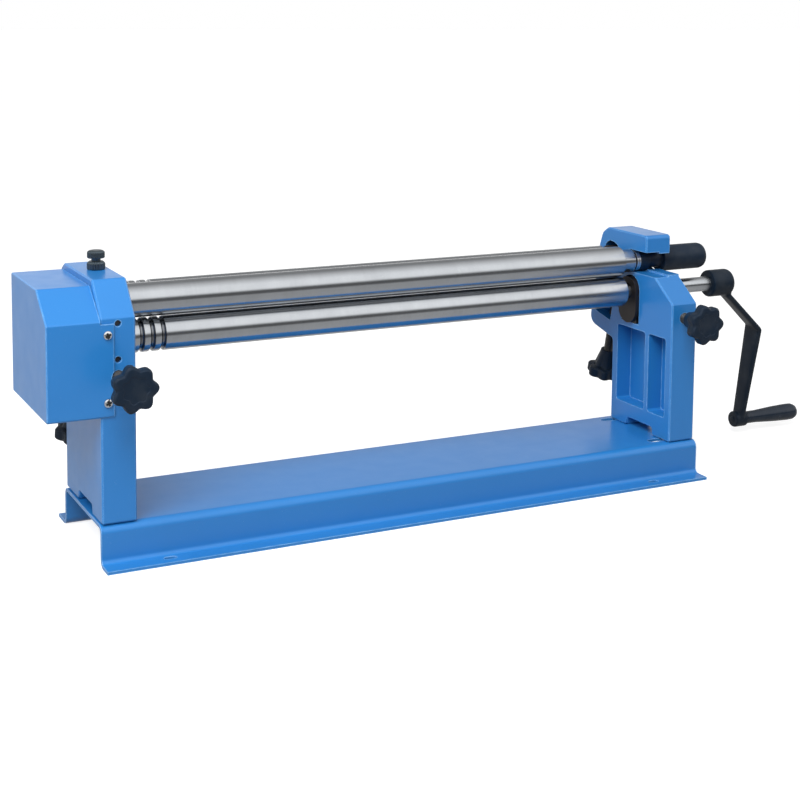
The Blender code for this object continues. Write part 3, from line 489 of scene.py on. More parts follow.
def lathe_marks_group():
    """Ground or turned steel: fine rings across X, a few deeper ones, and smudges of oil."""
    tree = group(
        "lathe marks",
        [("Colour", "colour", (0.5, 0.5, 0.5, 1)), ("Rings", "value", 0.2),
         ("Smudge", "value", 0.12), ("Gloss", "value", 0.2)],
        [("Colour", "colour"), ("Roughness", "value"), ("Normal", "vector")],
    )
    given, out = tree.nodes["in"].outputs, tree.nodes["out"].inputs
    where = node(tree, "TexCoord").outputs["Object"]
    squash = node(tree, "Mapping", Vector=where, Scale=(1.0, 0.012, 0.012)).outputs[0]
    fine = noise(tree, squash, 1500, 2)
    broad = noise(tree, squash, 160, 2)
    smudge = noise(tree, where, 22, 5, 0.62)
    rough = drift(tree, smudge, given["Smudge"], given["Gloss"])
    rough = drift(tree, broad, 0.03, rough, clamp=True)
    tree.links.new(rough, out["Roughness"])
    shade = span(tree, fine, 0.3, 0.7, 0.97, 1.02)
    stain = span(tree, smudge, 0.35, 0.7, 1.0, 0.9)
    tint = node(tree, "HueSaturation", Color=given["Colour"])
    tree.links.new(maths(tree, "MULTIPLY", shade, stain), tint.inputs["Value"])
    tree.links.new(tint.outputs[0], out["Colour"])
    height = maths(tree, "ADD", fine, maths(tree, "MULTIPLY", broad, 0.5))
    bump = node(tree, "Bump", Strength=given["Rings"], Distance=0.00006, Height=height)
    tree.links.new(bump.outputs[0], out["Normal"])
    return tree


def grain_group():
    """Moulded or cast skin: fine pebbles with a slower unevenness, and light rub marks."""
    tree = group(
        "pebbled skin",
        [("Colour", "colour", (0.02, 0.02, 0.02, 1)), ("Scale", "value", 1400.0),
         ("Relief", "value", 0.3), ("Gloss", "value", 0.45)],
        [("Colour", "colour"), ("Roughness", "value"), ("Normal", "vector")],
    )
    given, out = tree.nodes["in"].outputs, tree.nodes["out"].inputs
    where = node(tree, "TexCoord").outputs["Object"]
    pebble = node(tree, "TexVoronoi", Vector=where, Scale=given["Scale"]).outputs["Distance"]
    slow = noise(tree, where, 120, 3)
    height = maths(tree, "MULTIPLY_ADD", slow, 0.8, pebble)
    bump = node(tree, "Bump", Strength=given["Relief"], Distance=0.00012, Height=height)
    tree.links.new(bump.outputs[0], out["Normal"])
    rub = maths(tree, "MULTIPLY", span(tree, noise(tree, where, 60, 4), 0.45, 0.75), 0.25)
    tree.links.new(blend(tree, rub, given["Colour"], (0.05, 0.055, 0.06, 1)), out["Colour"])
    rough = drift(tree, slow, 0.16, given["Gloss"], clamp=True)
    tree.links.new(rough, out["Roughness"])
    return tree


EDGE_WEAR_AND_HIGHLIGHT = edge_wear_and_highlight_group()
ENAMEL = enamel_group()
LATHE_MARKS = lathe_marks_group()
GRAIN = grain_group()


def use(tree, which, **values):
    """Place a shared group in a material with its own values."""
    made = tree.nodes.new("ShaderNodeGroup")
    made.node_tree = which
    for label, value in values.items():
        made.inputs[label].default_value = value
    return made.outputs


def material(name, which, metallic=0.0, edge=None, sockets=None, ground=False, **values):
    """Principled material fed by one surface group. An edge is a lighter colour laid on the edges,
    as wear and as painted highlight, the radius of its mask and an amount. Ground ones smear
    reflections along X, across marks that run round X."""
    made = bpy.data.materials.new(name)
    made.use_nodes = True
    tree = made.node_tree
    shader = tree.nodes["Principled BSDF"]
    shader.inputs["Metallic"].default_value = metallic
    for label, value in (sockets or {}).items():
        shader.inputs[label].default_value = value
    skin = use(tree, which, **values)
    colour = skin["Colour"]
    if edge:
        mask = use(tree, EDGE_WEAR_AND_HIGHLIGHT, Radius=edge[1], Amount=edge[2])["Mask"]
        colour = blend(tree, mask, colour, edge[0])
    tree.links.new(colour, shader.inputs["Base Color"])
    tree.links.new(skin["Roughness"], shader.inputs["Roughness"])
    tree.links.new(skin["Normal"], shader.inputs["Normal"])
    if ground:
        round_x = node(tree, "Tangent", {"direction_type": "RADIAL", "axis": "X"})
        tree.links.new(round_x.outputs[0], shader.inputs["Tangent"])
        shader.inputs["Anisotropic Rotation"].default_value = 0.25
    return made


# The enamel's lighter edge colour is a painted highlight along its rounded edges
blue = material(
    "blue enamel", ENAMEL, edge=((0.28, 0.54, 0.85, 1), 0.0022, 1.0),
    sockets={"Coat Weight": 0.2, "Coat Roughness": 0.15},
    Colour=(0.018, 0.168, 0.465, 1), Drift=0.1, Peel=0.12, Gloss=0.32,
)
steel = material(
    "ground steel", LATHE_MARKS, metallic=1.0, sockets={"Anisotropic": 0.9}, ground=True,
    Colour=(0.5, 0.52, 0.545, 1), Rings=0.03, Smudge=0.05, Gloss=0.26,
)
# Darker steel painted into the roll grooves as shade
painted_shade = material(
    "grimed steel", LATHE_MARKS, metallic=1.0,
    Colour=(0.2, 0.21, 0.225, 1), Rings=0.1, Smudge=0.2, Gloss=0.24,
)
bright = material(
    "bright zinc", LATHE_MARKS, metallic=1.0,
    Colour=(0.72, 0.73, 0.74, 1), Rings=0.1, Smudge=0.14, Gloss=0.26,
)
dark = material(
    "oiled dark steel", LATHE_MARKS, metallic=0.9, edge=((0.4, 0.4, 0.4, 1), 0.0005, 0.5),
    Colour=(0.085, 0.083, 0.083, 1), Rings=0.3, Smudge=0.2, Gloss=0.38,
)
black = material(
    "moulded black", GRAIN, edge=((0.06, 0.07, 0.08, 1), 0.0009, 0.4),
    sockets={"Specular IOR Level": 0.22},
    Colour=(0.006, 0.014, 0.028, 1), Scale=1500.0, Relief=0.22, Gloss=0.42,
)
cast = material(
    "black cast iron", GRAIN, edge=((0.08, 0.09, 0.1, 1), 0.0012, 0.5),
    sockets={"Specular IOR Level": 0.22},
    Colour=(0.004, 0.01, 0.02, 1), Scale=620.0, Relief=0.3, Gloss=0.46,
)
bronze = material(
    "bearing bronze", GRAIN, metallic=0.75, edge=((0.2, 0.14, 0.1, 1), 0.0007, 0.6),
    Colour=(0.035, 0.03, 0.029, 1), Scale=1100.0, Relief=0.25, Gloss=0.5,
)
polished = material(
    "polished black", GRAIN, edge=((0.06, 0.07, 0.08, 1), 0.0009, 0.4),
    sockets={"Specular IOR Level": 0.35},
    Colour=(0.006, 0.014, 0.028, 1), Scale=1500.0, Relief=0.06, Gloss=0.24,
)
blued = material(
    "blued steel", LATHE_MARKS, metallic=0.85, edge=((0.24, 0.27, 0.3, 1), 0.0008, 0.7),
    Colour=(0.085, 0.11, 0.13, 1), Rings=0.2, Smudge=0.2, Gloss=0.34,
)
brass = material(
    "turned brass", LATHE_MARKS, metallic=1.0, Colour=(0.7, 0.5, 0.2, 1), Rings=0.3, Gloss=0.3,
)


# Castings and sheet


def make_frames():
    """Blue castings, cover and base, and the bearing blocks, plates and shoes, each made from its
    solid with rounded edges."""
    for name, width in (
        ("left_frame", casting_edge), ("right_frame", casting_edge),
        ("gear_cover", cover_edge), ("base_plate", base_edge),
    ):
        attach(dressed(name, blue, width), "machine")
    for side in ("left", "right"):
        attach(dressed(f"lower_block_{side}", bronze, block_edge), "lower_carriage")
        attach(dressed(f"bearing_plate_{side}", bronze, plate_edge), "lower_carriage")
        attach(dressed(f"rear_block_{side}", bronze, block_edge), "rear_carriage")
        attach(dressed(f"lift_shoe_{side}", dark, block_edge), f"shoe_{side}")


# Rolls


def groove_profile():
    """(r, s) points down into each half-round wire groove and out again."""
    radius = roll_radius
    turn = np.linspace(pi, 0, 17)
    made = []
    for i in range(groove_count):
        centre = roll_left + first_groove + i * groove_pitch
        depth, run = groove_radius * np.sin(turn), groove_radius * np.cos(turn)
        arc = np.stack((radius - depth, centre + run), -1)
        made += [
            (radius, centre - groove_radius - groove_lip),
            (radius - groove_burr, centre - groove_radius - groove_burr),
        ]
        made += arc[1:-1].tolist()
        made += [
            (radius - groove_burr, centre + groove_radius + groove_burr),
            (radius, centre + groove_radius + groove_lip),
        ]
    return np.array(made)


def roll_body(shaft, shaft_left, shaft_right):
    """Profile of a grooved roll: chamfered shaft ends, rounded shoulders and the body between."""
    radius, edge, left, right = roll_radius, roll_edge, roll_left, roll_right
    head = eased([
        (shaft - edge, shaft_left, 0), (shaft, shaft_left + edge, 0.4 * MM),
        (shaft, left - 1 * MM, 0.6 * MM), (shaft + 1.5 * MM, left, 0.2 * MM),
        (radius - edge, left, 0.5 * MM), (radius, left + edge, 0.8 * MM),
        (radius, left + 6 * MM, 0),
    ])
    tail = eased([
        (radius, right - 6 * MM, 0), (radius, right - edge, 0.8 * MM),
        (radius - edge, right, 0.5 * MM), (shaft + 1.5 * MM, right, 0.2 * MM),
        (shaft, right + 1 * MM, 0.6 * MM),
        (shaft, shaft_right - edge, 0.4 * MM), (shaft - edge, shaft_right, 0),
    ])
    return np.concatenate((head, groove_profile(), tail))


def in_grooves(y, z):
    """Test for face centres in the wire grooves of a roll, which get painted shade: inside its
    radius, near the gear end.
    """
    def inside(centres):
        deep = np.hypot(centres[:, 1] - y, centres[:, 2] - z) < roll_radius - groove_shade_depth
        return deep & (np.abs(centres[:, 0] - roll_left - groove_shade_middle) < groove_shade_reach)
    return inside


def make_grooved_rolls():
    """Lower and rear rolls, each one turned surface with painted shade in its grooves."""
    low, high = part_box("lower_roll")
    profile = roll_body(journal_radius, low[0], high[0])
    lower = turned("lower_roll_ground", profile, on_x(lower_y, lower_z), steel)
    # Painted shade: the groove faces take the darker steel
    second_finish(lower, painted_shade, in_grooves(lower_y, lower_z))
    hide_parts("lower_roll")
    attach(lower, "crank")
    low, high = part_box("rear_roll")
    profile = roll_body(rear_journal_radius, low[0], high[0])
    rear = turned("rear_roll_ground", profile, on_x(rear_y, rear_z), steel)
    second_finish(rear, painted_shade, in_grooves(rear_y, rear_z))
    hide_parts("rear_roll")
    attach(rear, "rear_roller")


def make_top_roll():
    """Top roll: ball, spigot, body, neck and end shaft in one turned surface, and its cross pin."""
    low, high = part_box("top_roll")
    swivel = low[0] + ball_radius
    turn = np.linspace(0.05, ball_sweep, 24)
    globe = np.stack((ball_radius * np.sin(turn), swivel - ball_radius * np.cos(turn)), -1)
    neck_end = top_roll_right + neck_length
    body = eased([
        (globe[-1][0], globe[-1][1], 0), (ball_neck_radius, swivel + 11 * MM, 1 * MM),
        (ball_neck_radius, roll_left - 15 * MM, 2 * MM),
        (spigot_radius, roll_left - 8 * MM, 1 * MM),
        (spigot_radius, roll_left, 0.5 * MM), (roll_radius - roll_edge, roll_left, 0.5 * MM),
        (roll_radius, roll_left + roll_edge, 0.8 * MM),
        (roll_radius, top_roll_right - roll_edge, 0.8 * MM),
        (roll_radius - roll_edge, top_roll_right, 0.5 * MM),
        (neck_radius + 0.6 * MM, top_roll_right, 0.6 * MM),
        (neck_radius, top_roll_right + 1 * MM, 0.6 * MM),
        (neck_radius, neck_end - 1 * MM, 0.8 * MM), (neck_radius - 1 * MM, neck_end, 0.3 * MM),
        (end_shaft_radius, neck_end + 1.9 * MM, 0.3 * MM),
        (end_shaft_radius, high[0], 0),
    ])
    profile = np.concatenate((globe, body[1:]))
    top = turned("top_roll_ground", profile, on_x(top_y, top_z), steel)
    pin = eased([
        (pin_end_radius, -pin_half, 0), (pin_radius, -pin_straight, 0.3 * MM),
        (pin_radius, pin_straight, 0.3 * MM), (pin_end_radius, pin_half, 0),
    ])
    cross_pin = turned(
        "cross_pin", pin, along((0, 1, 0), (swivel, top_y, top_z)), dark, around=AROUND_SMALL,
    )
    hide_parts("top_roll")
    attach(top, "upper_roll")
    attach(cross_pin, "upper_roll")


# Knobs and screws


def star_swell(theta, power):
    """1 on a lobe, 0 in a valley: a raised cosine to a power, which fills out the lobes."""
    return (0.5 + 0.5 * np.cos(knob_lobes * theta)) ** power


def knob_shape(theta, r, s):
    """Radius of the star knob: a full star on the head, and ribs that fade down the conical hub."""
    head = np.clip((s + knob_head + knob_head_blend) / knob_head_blend, 0, 1)
    dip = (knob_radius - knob_valley) / knob_radius
    star = r * (1 - dip * (1 - star_swell(theta, lobe_power)))
    fade = np.clip((s + knob_head + knob_hub) / knob_hub, 0, 1)
    rib = r * (1 - rib_depth * fade * (1 - star_swell(theta, rib_power)))
    return head * star + (1 - head) * rib


def make_knob(name, face, outward):
    """Star knob: conical ribbed hub, rounded star head and a shallow dish in its face."""
    big = knob_radius
    root = -knob_head - knob_hub
    profile = np.concatenate((
        eased([
            (knob_bore_radius, root + 2 * MM, 0), (knob_bore_radius, root, 0.4 * MM),
            (knob_hub_small, root, 0.9 * MM), (knob_hub_small + 0.3 * MM, root + 3 * MM, 4 * MM),
            (knob_hub_large - 0.6 * MM, -knob_head - 2 * MM, 3 * MM),
            (knob_hub_large, -knob_head - 0.3 * MM, 0),
        ]),
        eased([
            (knob_hub_large + 0.8 * MM, -knob_head, 0), (big - 1.6 * MM, -knob_head, 1.4 * MM),
            (big, -knob_head + 2.2 * MM, 2.2 * MM), (big, -2.6 * MM, 3 * MM),
            (big - 3 * MM, -0.2 * MM, 3 * MM), (big - 7 * MM, 0, 4 * MM),
            (0.6 * big, 0, 1 * MM), (0.57 * big, -0.4 * MM, 1 * MM),
            (0.2 * big, -0.5 * MM, 0), (0.02 * big, -0.5 * MM, 0),
        ], steps=8),
    ))
    around = knob_lobes * lobe_facets
    return turned(name, profile, along(outward, face), black, around, knob_shape, SHARP_KNOB)


def thread_shape(theta, r, s):
    """Radius of a single-start thread: a trapezium wave of the helix phase cuts its root."""
    phase = (s / screw_pitch - theta / (2 * pi)) % 1.0
    cut = np.clip(np.abs(phase - 0.5) * 2, 0, 1)
    return r - thread_depth * np.clip(cut * thread_steepness - thread_crest, 0, 1)


def make_screw(name, tip, outward, length):
    """Adjusting screw: dog point, then a real helix out to the knob."""
    plain = screw_plain
    rows = int((length - plain) / screw_pitch * rows_per_turn)
    s = np.linspace(plain, length, rows)
    body = np.stack((0 * s + screw_radius, s), -1)
    point = eased([
        (dog_radius - 0.8 * MM, 0, 0), (dog_radius, 0.8 * MM, 0.3 * MM),
        (dog_radius, plain - 1.6 * MM, 0), (screw_radius - 0.9 * MM, plain - HAIR, 0),
    ])

    def shape(theta, r, s):
        return np.where(s >= plain, thread_shape(theta, r, s), r)

    profile = np.concatenate((point, body))
    return turned(name, profile, along(outward, tip), dark, thread_facets, shape, SHARP_RIM)


def make_adjusters():
    """Four star knobs on their screws."""
    for side, x in (("left", left_screw_x), ("right", right_screw_x)):
        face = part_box(f"front_knob_{side}")[0][1]
        near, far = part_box(f"front_screw_{side}")
        outward = Vector((0, -1, 0))
        knob = make_knob(f"front_star_{side}", (x, face, front_screw_z), outward)
        tip = (x, far[1], front_screw_z)
        screw = make_screw(f"front_thread_{side}", tip, outward, far[1] - near[1])
        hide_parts(f"front_knob_{side}")
        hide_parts(f"front_screw_{side}")
        for item in (knob, screw):
            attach(item, f"front_adjuster_{side}")
        centre = Vector((x, rear_y, rear_z))
        knob = make_knob(f"rear_star_{side}", centre + slide_down * rear_knob_drop, slide_down)
        start = rear_block_half + rear_screw_gap
        length = rear_knob_drop - knob_head - knob_hub + knob_bore - rear_screw_gap - start
        screw = make_screw(f"rear_thread_{side}", centre + slide_down * start, slide_down, length)
        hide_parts(f"rear_knob_{side}")
        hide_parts(f"rear_screw_{side}")
        for item in (knob, screw):
            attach(item, f"rear_adjuster_{side}")


# Crank


def crank_place():
    """Matrix of the crank's own plane: X stays, Y runs out along the arm, Z is square to it."""
    out = Vector((0, sin(crank_lean), -cos(crank_lean)))
    side = Vector((1, 0, 0)).cross(out)
    return np.array((
        (1, out.x, side.x, 0), (0, out.y, side.y, lower_y),
        (0, out.z, side.z, lower_z), (0, 0, 0, 1),
    ), dtype=float)


tip_y, tip_z = carry(np.array((0, crank_radius, 0)), crank_place())[1:]


def crank_arm_mesh():
    """Cast arm: a flat crowned bar carried along a cranked path, broad side square to the shaft.

    Its section is a superellipse, (w |cos t|^p, h |sin t|^q) with the signs of cos t and sin t.
    The half width w runs straight from the root to the knee and from the knee to the tip.
    """
    root_x = hub_start + hub_length - arm_root_in
    path = eased([
        (root_x, 8 * MM, 0), (root_x, 17 * MM, 5 * MM),
        (crank_plane_x + arm_knee_out, crank_knee, 3 * MM), (crank_plane_x, crank_radius, 0),
    ], steps=12)
    steps = np.concatenate(([0], np.cumsum(np.linalg.norm(np.diff(path, axis=0), axis=1))))
    s = np.linspace(0, steps[-1], arm_rows)
    centre = np.stack((np.interp(s, steps, path[:, 0]), np.interp(s, steps, path[:, 1])), -1)
    run = np.gradient(centre, axis=0)
    run /= np.linalg.norm(run, axis=1)[:, None]
    across = np.stack((-run[:, 1], run[:, 0]), -1)
    knee_at = steps[np.argmin(np.abs(path[:, 1] - crank_knee) + np.abs(path[:, 0] - crank_plane_x))]
    half_width = np.interp(s, [0, knee_at, steps[-1]], arm_half_widths)
    turn = 2 * pi * np.arange(AROUND_SMALL) / AROUND_SMALL
    edge = np.sign(np.cos(turn)) * np.abs(np.cos(turn)) ** arm_side_power
    thick = arm_half_thickness * np.sign(np.sin(turn)) * np.abs(np.sin(turn)) ** arm_face_power
    points = np.stack((
        centre[:, 0][:, None] + across[:, 0][:, None] * thick[None, :],
        centre[:, 1][:, None] + across[:, 1][:, None] * thick[None, :],
        half_width[:, None] * edge[None, :],
    ), -1)
    return points.reshape(-1, 3), lattice(len(s), len(turn))


def make_crank():
    """Crank in one casting: arm, hub and boss are merged by a voxel remesh, which is then relaxed
    into soft fillets."""
    hub_end = hub_start + hub_length + hub_dome
    arm_points, arm_faces = crank_arm_mesh()
    arm = piece("cast_crank", carry(arm_points, crank_place()), arm_faces, cast)
    hub = turned("crank_hub", eased([
        (journal_radius, hub_start, 0), (hub_radius, hub_start, 2.4 * MM),
        (hub_radius, hub_end, 8 * MM), (1 * MM, hub_end, 0),
    ], steps=8), on_x(lower_y, lower_z), cast)
    boss = turned("crank_boss", eased([
        (1 * MM, boss_start, 0), (boss_radius, boss_start, 2 * MM),
        (boss_radius, boss_end, 2 * MM), (1 * MM, boss_end, 0),
    ], steps=8), on_x(tip_y, tip_z), cast)
    bm = bmesh.new()
    for part in (arm, hub, boss):
        bm.from_mesh(part.data)
    bm.to_mesh(arm.data)
    bm.free()
    for part in (hub, boss):
        bpy.data.objects.remove(part, do_unlink=True)
    remesh = arm.modifiers.new("one_casting", "REMESH")
    remesh.mode = "VOXEL"
    remesh.voxel_size = casting_voxel
    remesh.use_smooth_shade = True
    relax = arm.modifiers.new("cast_fillets", "SMOOTH")
    relax.factor = 0.5
    relax.iterations = 9
    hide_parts("crank_arm")
    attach(arm, "crank")


def make_crank_fittings():
    """Set screw in the crank's hub, the turning grip and the riveted end of its spindle."""
    screw_x = sum(corner[0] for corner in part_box("crank_set_screw")) / 2
    top = carry(np.array((screw_x, -hub_radius, 0)), crank_place())
    inward = carry(np.array((screw_x, 0, 0)), crank_place()) - top
    set_screw = turned("hub_set_screw", eased([
        (set_screw_radius, 7 * MM, 0), (set_screw_radius, 1.4 * MM, 0),
        (3.4 * MM, 0.9 * MM, 0.2 * MM), (2.3 * MM, 0.9 * MM, 0), (2.2 * MM, 4 * MM, 0),
        (AXIS_END, 4.4 * MM, 0),
    ]), along(inward, top), dark, around=36)
    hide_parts("crank_set_screw")
    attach(set_screw, "crank")

    low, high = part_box("crank_grip")
    start, end = low[0], high[0]
    length = end - start
    grip_profile = eased([
        (grip_bore, start + 4 * MM, 0), (grip_bore, start, 0), (8.2 * MM, start, 0.6 * MM),
        (9.25 * MM, start + 1.5 * MM, 1 * MM), (9.3 * MM, start + 0.2 * length, 30 * MM),
        (11.6 * MM, start + 0.55 * length, 40 * MM), (12.5 * MM, start + 0.82 * length, 20 * MM),
        (12.2 * MM, end - 8 * MM, 6 * MM), (9.8 * MM, end - 1.6 * MM, 3.4 * MM),
        (4.2 * MM, end - 0.1 * MM, 3 * MM), (AXIS_END, end, 0),
    ], steps=9)
    grip = turned("turning_grip", grip_profile, on_x(tip_y, tip_z), polished)
    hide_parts("crank_grip")
    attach(grip, "grip")
    rivet = turned("spindle_end", eased([
        (rivet_shank, boss_start + 2 * MM, 0), (rivet_radius, boss_start - 0.4 * MM, 0.4 * MM),
        (3.4 * MM, boss_start - 1.2 * MM, 1 * MM), (AXIS_END, boss_start - 1.4 * MM, 0),
    ]), on_x(tip_y, tip_z), cast, around=AROUND_SMALL)
    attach(rivet, "crank")


# Crank end of the top roll, and the lock screw


def make_release():
    """Thrust rings, journal bush and the black pull-out sleeve."""
    for k in (1, 2):
        low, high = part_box(f"thrust_ring_{k}")
        washer = ring(f"thrust_washer_{k}", [
            (sleeve_bore, low[0], 0.3 * MM), (bush_radius, low[0], 0.4 * MM),
            (bush_radius, high[0], 0.4 * MM), (sleeve_bore, high[0], 0.3 * MM),
        ], on_x(top_y, top_z), bright)
        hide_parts(f"thrust_ring_{k}")
        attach(washer, "swing")
    low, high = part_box("journal_bush")
    bush = ring("nose_bush", [
        (sleeve_bore, low[0], 0.3 * MM), (bush_radius, low[0], 0.6 * MM),
        (bush_radius, high[0], 0.6 * MM), (sleeve_bore, high[0], 0.3 * MM),
    ], on_x(top_y, top_z), black)
    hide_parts("journal_bush")
    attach(bush, "swing")
    low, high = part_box("release_sleeve")
    radius = (high[2] - low[2]) / 2
    shoulder = low[0] + nose_length
    sleeve = turned("pull_sleeve", eased([
        (sleeve_bore, low[0] + 4 * MM, 0), (sleeve_bore, low[0], 0.4 * MM),
        (nose_radius, low[0], 0.6 * MM), (nose_radius, shoulder, 0.8 * MM),
        (radius, shoulder, 1.4 * MM), (radius, high[0] - 9 * MM, 12 * MM),
        (radius - 1.8 * MM, high[0] - 4 * MM, 5 * MM), (radius - 9 * MM, high[0], 5 * MM),
        (AXIS_END, high[0], 0),
    ], steps=10), on_x(top_y, top_z), black)
    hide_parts("release_sleeve")
    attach(sleeve, "release")


def knurl(count, depth):
    """Shape with straight teeth round the rim, a raised cosine to a power, and none further in."""
    def shape(theta, r, s):
        rim = np.clip((r - knurl_start) / knurl_fade, 0, 1)
        return r - rim * depth * (0.5 - 0.5 * np.cos(count * theta)) ** knurl_power
    return shape


def make_lock():
    """Knurled collar and domed thumb screw on top of the gear end frame."""
    low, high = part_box("lock_collar")
    x, y = (low[0] + high[0]) / 2, (low[1] + high[1]) / 2
    upright = along((0, 0, 1), (x, y, 0))
    r = collar_radius
    collar = turned("knurled_collar", eased([
        (collar_bore, low[2], 0), (r - 0.8 * MM, low[2], 0.3 * MM),
        (r, low[2] + 0.8 * MM, 0.3 * MM), (r, high[2] - 2.4 * MM, 1.2 * MM),
        (r - 2.6 * MM, high[2], 0.6 * MM), (collar_bore, high[2], 0),
    ]), upright, blued, collar_teeth * knurl_facets, knurl(collar_teeth, collar_tooth), SHARP_RIM)
    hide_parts("lock_collar")
    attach(collar, "machine")
    low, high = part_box("lock_screw")
    r = cap_radius
    under = high[2] - cap_height
    cap = turned("thumb_screw", eased([
        (4 * MM, low[2], 0), (lock_shank_radius, low[2] + 1.2 * MM, 0.2 * MM),
        (lock_shank_radius, under, 0.5 * MM), (r - 0.6 * MM, under, 0.5 * MM),
        (r, under + 0.8 * MM, 0.5 * MM), (r, high[2] - 2.2 * MM, 1.6 * MM),
        (r - 2.2 * MM, high[2] - 0.4 * MM, 2 * MM), (0.5 * r, high[2], 3 * MM),
        (AXIS_END, high[2], 0),
    ], steps=8), upright, blued, cap_teeth * knurl_facets, knurl(cap_teeth, cap_tooth), SHARP_RIM)
    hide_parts("lock_screw")
    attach(cap, "lock_thumb")


# Screws of the cover and small fasteners


def in_recess(x, y, z):
    """Test for face centres in a cover screw's cross, which get painted shade: behind the plane at
    y, near its axis.
    """
    def inside(centres):
        away = np.hypot(centres[:, 0] - x, centres[:, 2] - z)
        return (centres[:, 1] > y) & (away < recess_radius)
    return inside


def make_cover_screws():
    """Zinc pan heads with a cross recess: a polar height field, h sqrt(1 - (r/R)^p), with the
    cross pressed in and painted dark as shade, and a plain shank behind it."""
    for label in ("high", "low"):
        low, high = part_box(f"cover_screw_{label}")
        x, z = (low[0] + high[0]) / 2, (low[2] + high[2]) / 2
        radius = head_growth * (high[0] - low[0]) / 2
        face = np.linspace(0.02, 1, head_rings) * radius
        r = np.concatenate((face, (radius, shank_radius, shank_radius)))[:, None]
        theta = np.linspace(0, 2 * pi, AROUND, endpoint=False)[None, :]
        dome = head_height * np.sqrt(np.clip(1 - (r / radius / 1.02) ** dome_power, 0, 1))
        u, v = r * np.cos(theta), r * np.sin(theta)
        arm = np.minimum(np.abs(u), np.abs(v))
        reach = np.maximum(np.abs(u), np.abs(v))
        across = np.clip((cross_half - arm) / cross_side, 0, 1)
        pressed = across * np.clip((cross_reach - reach) / cross_end, 0, 1) * cross_depth
        height = dome - pressed + head_lift
        height[head_rings:head_rings + 2] = HAIR
        height[head_rings + 2] = -shank_depth
        points = np.stack((u, v, height), -1).reshape(-1, 3)
        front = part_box("gear_cover")[0][1]
        place = along((0, -1, 0), (x, front, z)) @ np.array(Matrix.Rotation(head_turn, 4, "Z"))
        faces = lattice(len(r), AROUND)
        screw = piece(f"cross_screw_{label}", carry(points, place), faces, bright, SHARP_HEAD)
        # Painted shade: the faces in the cross recess take the dark steel finish
        second_finish(screw, dark, in_recess(x, front - recess_height, z))
        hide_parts(f"cover_screw_{label}")
        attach(screw, "machine")


def make_kept_nodes():
    """Hidden or small solids that keep their own shape get their finish."""
    for finish, names in (
        (steel, ("drive_sleeve", "grip_spindle")),
        (brass, ("lock_pad",)),
        (dark, (
            "lower_gear", "top_gear", "lower_gear_screw", "top_gear_screw", "frame_set_screw_low",
            "frame_set_screw_top", "frame_bolt_1", "frame_bolt_2", "frame_bolt_3", "frame_bolt_4",
        )),
    ):
        for name in names:
            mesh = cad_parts[name].data
            mesh.materials.clear()
            mesh.materials.append(finish)


# Studio


def make_floor():
    """Pale floor that reads white to the camera. Reflections see it grey, and dark far in front."""
    points = floor_half * np.array([(-1, -1, 0), (1, -1, 0), (1, 1, 0), (-1, 1, 0)])
    floor_finish = bpy.data.materials.new("pale floor")
    floor_finish.use_nodes = True
    tree = floor_finish.node_tree
    shader = tree.nodes["Principled BSDF"]
    shader.inputs["Base Color"].default_value = (0.42, 0.42, 0.42, 1)
    shader.inputs["Roughness"].default_value = 0.9
    path = node(tree, "LightPath").outputs
    seen = maths(tree, "MAXIMUM", path["Is Camera Ray"], path["Is Transmission Ray"])
    glow = node(tree, "Emission", Color=(1, 1, 1, 1))
    tree.links.new(maths(tree, "MULTIPLY", seen, FLOOR_GLOW), glow.inputs["Strength"])
    lit = node(tree, "AddShader")
    tree.links.new(shader.outputs[0], lit.inputs[0])
    tree.links.new(glow.outputs[0], lit.inputs[1])
    depth = node(tree, "SeparateXYZ", Vector=node(tree, "TexCoord").outputs["Object"]).outputs["Y"]
    front = span(tree, depth, -1.5, -0.9, 0.15, 0.5)
    shine = maths(tree, "ADD", front, span(tree, depth, -0.3, 0.5, 0.0, 0.12))
    mirrored = node(tree, "Emission", Color=(1, 1, 1, 1))
    tree.links.new(shine, mirrored.inputs["Strength"])
    mix = node(tree, "MixShader")
    tree.links.new(path["Is Glossy Ray"], mix.inputs[0])
    tree.links.new(lit.outputs[0], mix.inputs[1])
    tree.links.new(mirrored.outputs[0], mix.inputs[2])
    tree.links.new(mix.outputs[0], tree.nodes["Material Output"].inputs[0])
    floor = piece("floor", points, [[0, 1, 2, 3]], floor_finish)


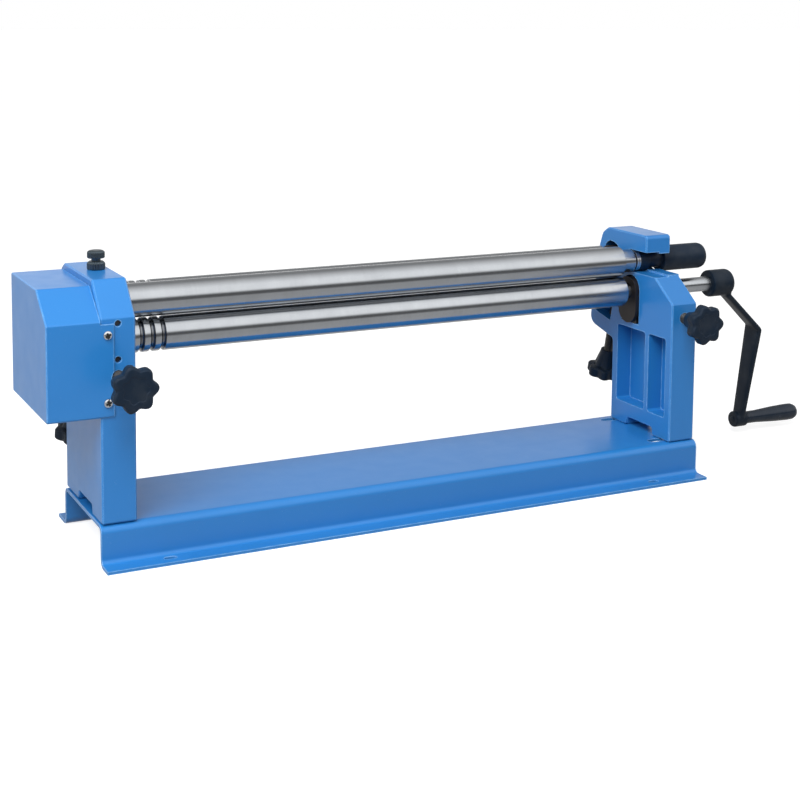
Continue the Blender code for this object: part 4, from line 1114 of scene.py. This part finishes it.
def make_room():
    """World that reads white behind the object. Reflections see a room that is bright above its
    front and low at the back, dark low in front and greyer above its back."""
    world = bpy.data.worlds.new("studio")
    bpy.context.scene.world = world
    world.use_nodes = True
    tree = world.node_tree
    background = tree.nodes["Background"]
    path = node(tree, "LightPath").outputs
    towards = node(tree, "SeparateXYZ", Vector=node(tree, "TexCoord").outputs["Generated"]).outputs
    high = span(tree, towards["Y"], -0.5, 0.5, 1.4, 0.36)
    low = span(tree, towards["Y"], -0.35, 0.1, 0.15, 1.15)
    rise = span(tree, towards["Z"], 0.12, 0.34)
    change = maths(tree, "SUBTRACT", high, low)
    room = maths(tree, "ADD", low, maths(tree, "MULTIPLY", rise, change))
    seen = maths(tree, "MAXIMUM", path["Is Camera Ray"], path["Is Transmission Ray"])
    shine = maths(tree, "MULTIPLY", path["Is Glossy Ray"], room)
    ambient = maths(tree, "MULTIPLY", maths(tree, "SUBTRACT", 1.0, path["Is Glossy Ray"]), AMBIENT)
    strength = maths(tree, "MAXIMUM", seen, maths(tree, "ADD", shine, ambient))
    background.inputs["Color"].default_value = (1, 1, 1, 1)
    tree.links.new(strength, background.inputs["Strength"])


def soft_box(name, place, target, size, power):
    """Rectangular area light that looks at the target."""
    data = bpy.data.lights.new(name, "AREA")
    data.shape = "RECTANGLE"
    data.size, data.size_y = size
    data.energy = power
    light = bpy.data.objects.new(name, data)
    light.location = place
    light.rotation_euler = (Vector(target) - Vector(place)).to_track_quat("-Z", "Y").to_euler()
    light.visible_glossy = False
    bpy.context.scene.collection.objects.link(light)


def make_lights():
    """A large key above the front left and weak fills from the left and right."""
    for name, place, target, size, power in (
        ("key", (-1.15, -1.05, 2.05), (0, 0.1, 0.2), (2.0, 1.5), 90),
        ("left fill", (-2.3, -0.5, 0.6), (-0.3, 0.1, 0.2), (1.2, 1.0), 6),
        ("right fill", (2.0, -1.2, 0.9), (0.2, 0.1, 0.2), (1.0, 1.0), 6),
    ):
        soft_box(name, place, target, size, power)


def make_camera():
    """Camera fitted to the photograph, its turn given as yaw, pitch and roll in radians."""
    data = bpy.data.cameras.new("camera")
    data.lens = camera_lens
    data.sensor_width = 36
    data.shift_y = camera_shift
    camera = bpy.data.objects.new("camera", data)
    yaw, pitch, roll = camera_turn
    level = Vector((-sin(yaw), cos(yaw), 0))
    right = Vector((cos(yaw), sin(yaw), 0))
    up = Vector((0, 0, 1))
    ahead = level * cos(pitch) - up * sin(pitch)
    lift = up * cos(pitch) + level * sin(pitch)
    side = right * cos(roll) + lift * sin(roll)
    lift = lift * cos(roll) - right * sin(roll)
    x, y, z = camera_place
    place = Vector((x, y + middle_y, z))
    turn = Matrix((side, lift, -ahead)).transposed().to_4x4()
    camera.matrix_world = Matrix.Translation(place) @ turn
    bpy.context.scene.collection.objects.link(camera)
    bpy.context.scene.camera = camera


make_frames()
make_grooved_rolls()
make_top_roll()
make_adjusters()
make_crank()
make_crank_fittings()
make_release()
make_lock()
make_cover_screws()
make_kept_nodes()
make_floor()
make_room()
make_lights()
make_camera()
bpy.context.scene.view_settings.view_transform = "Standard"
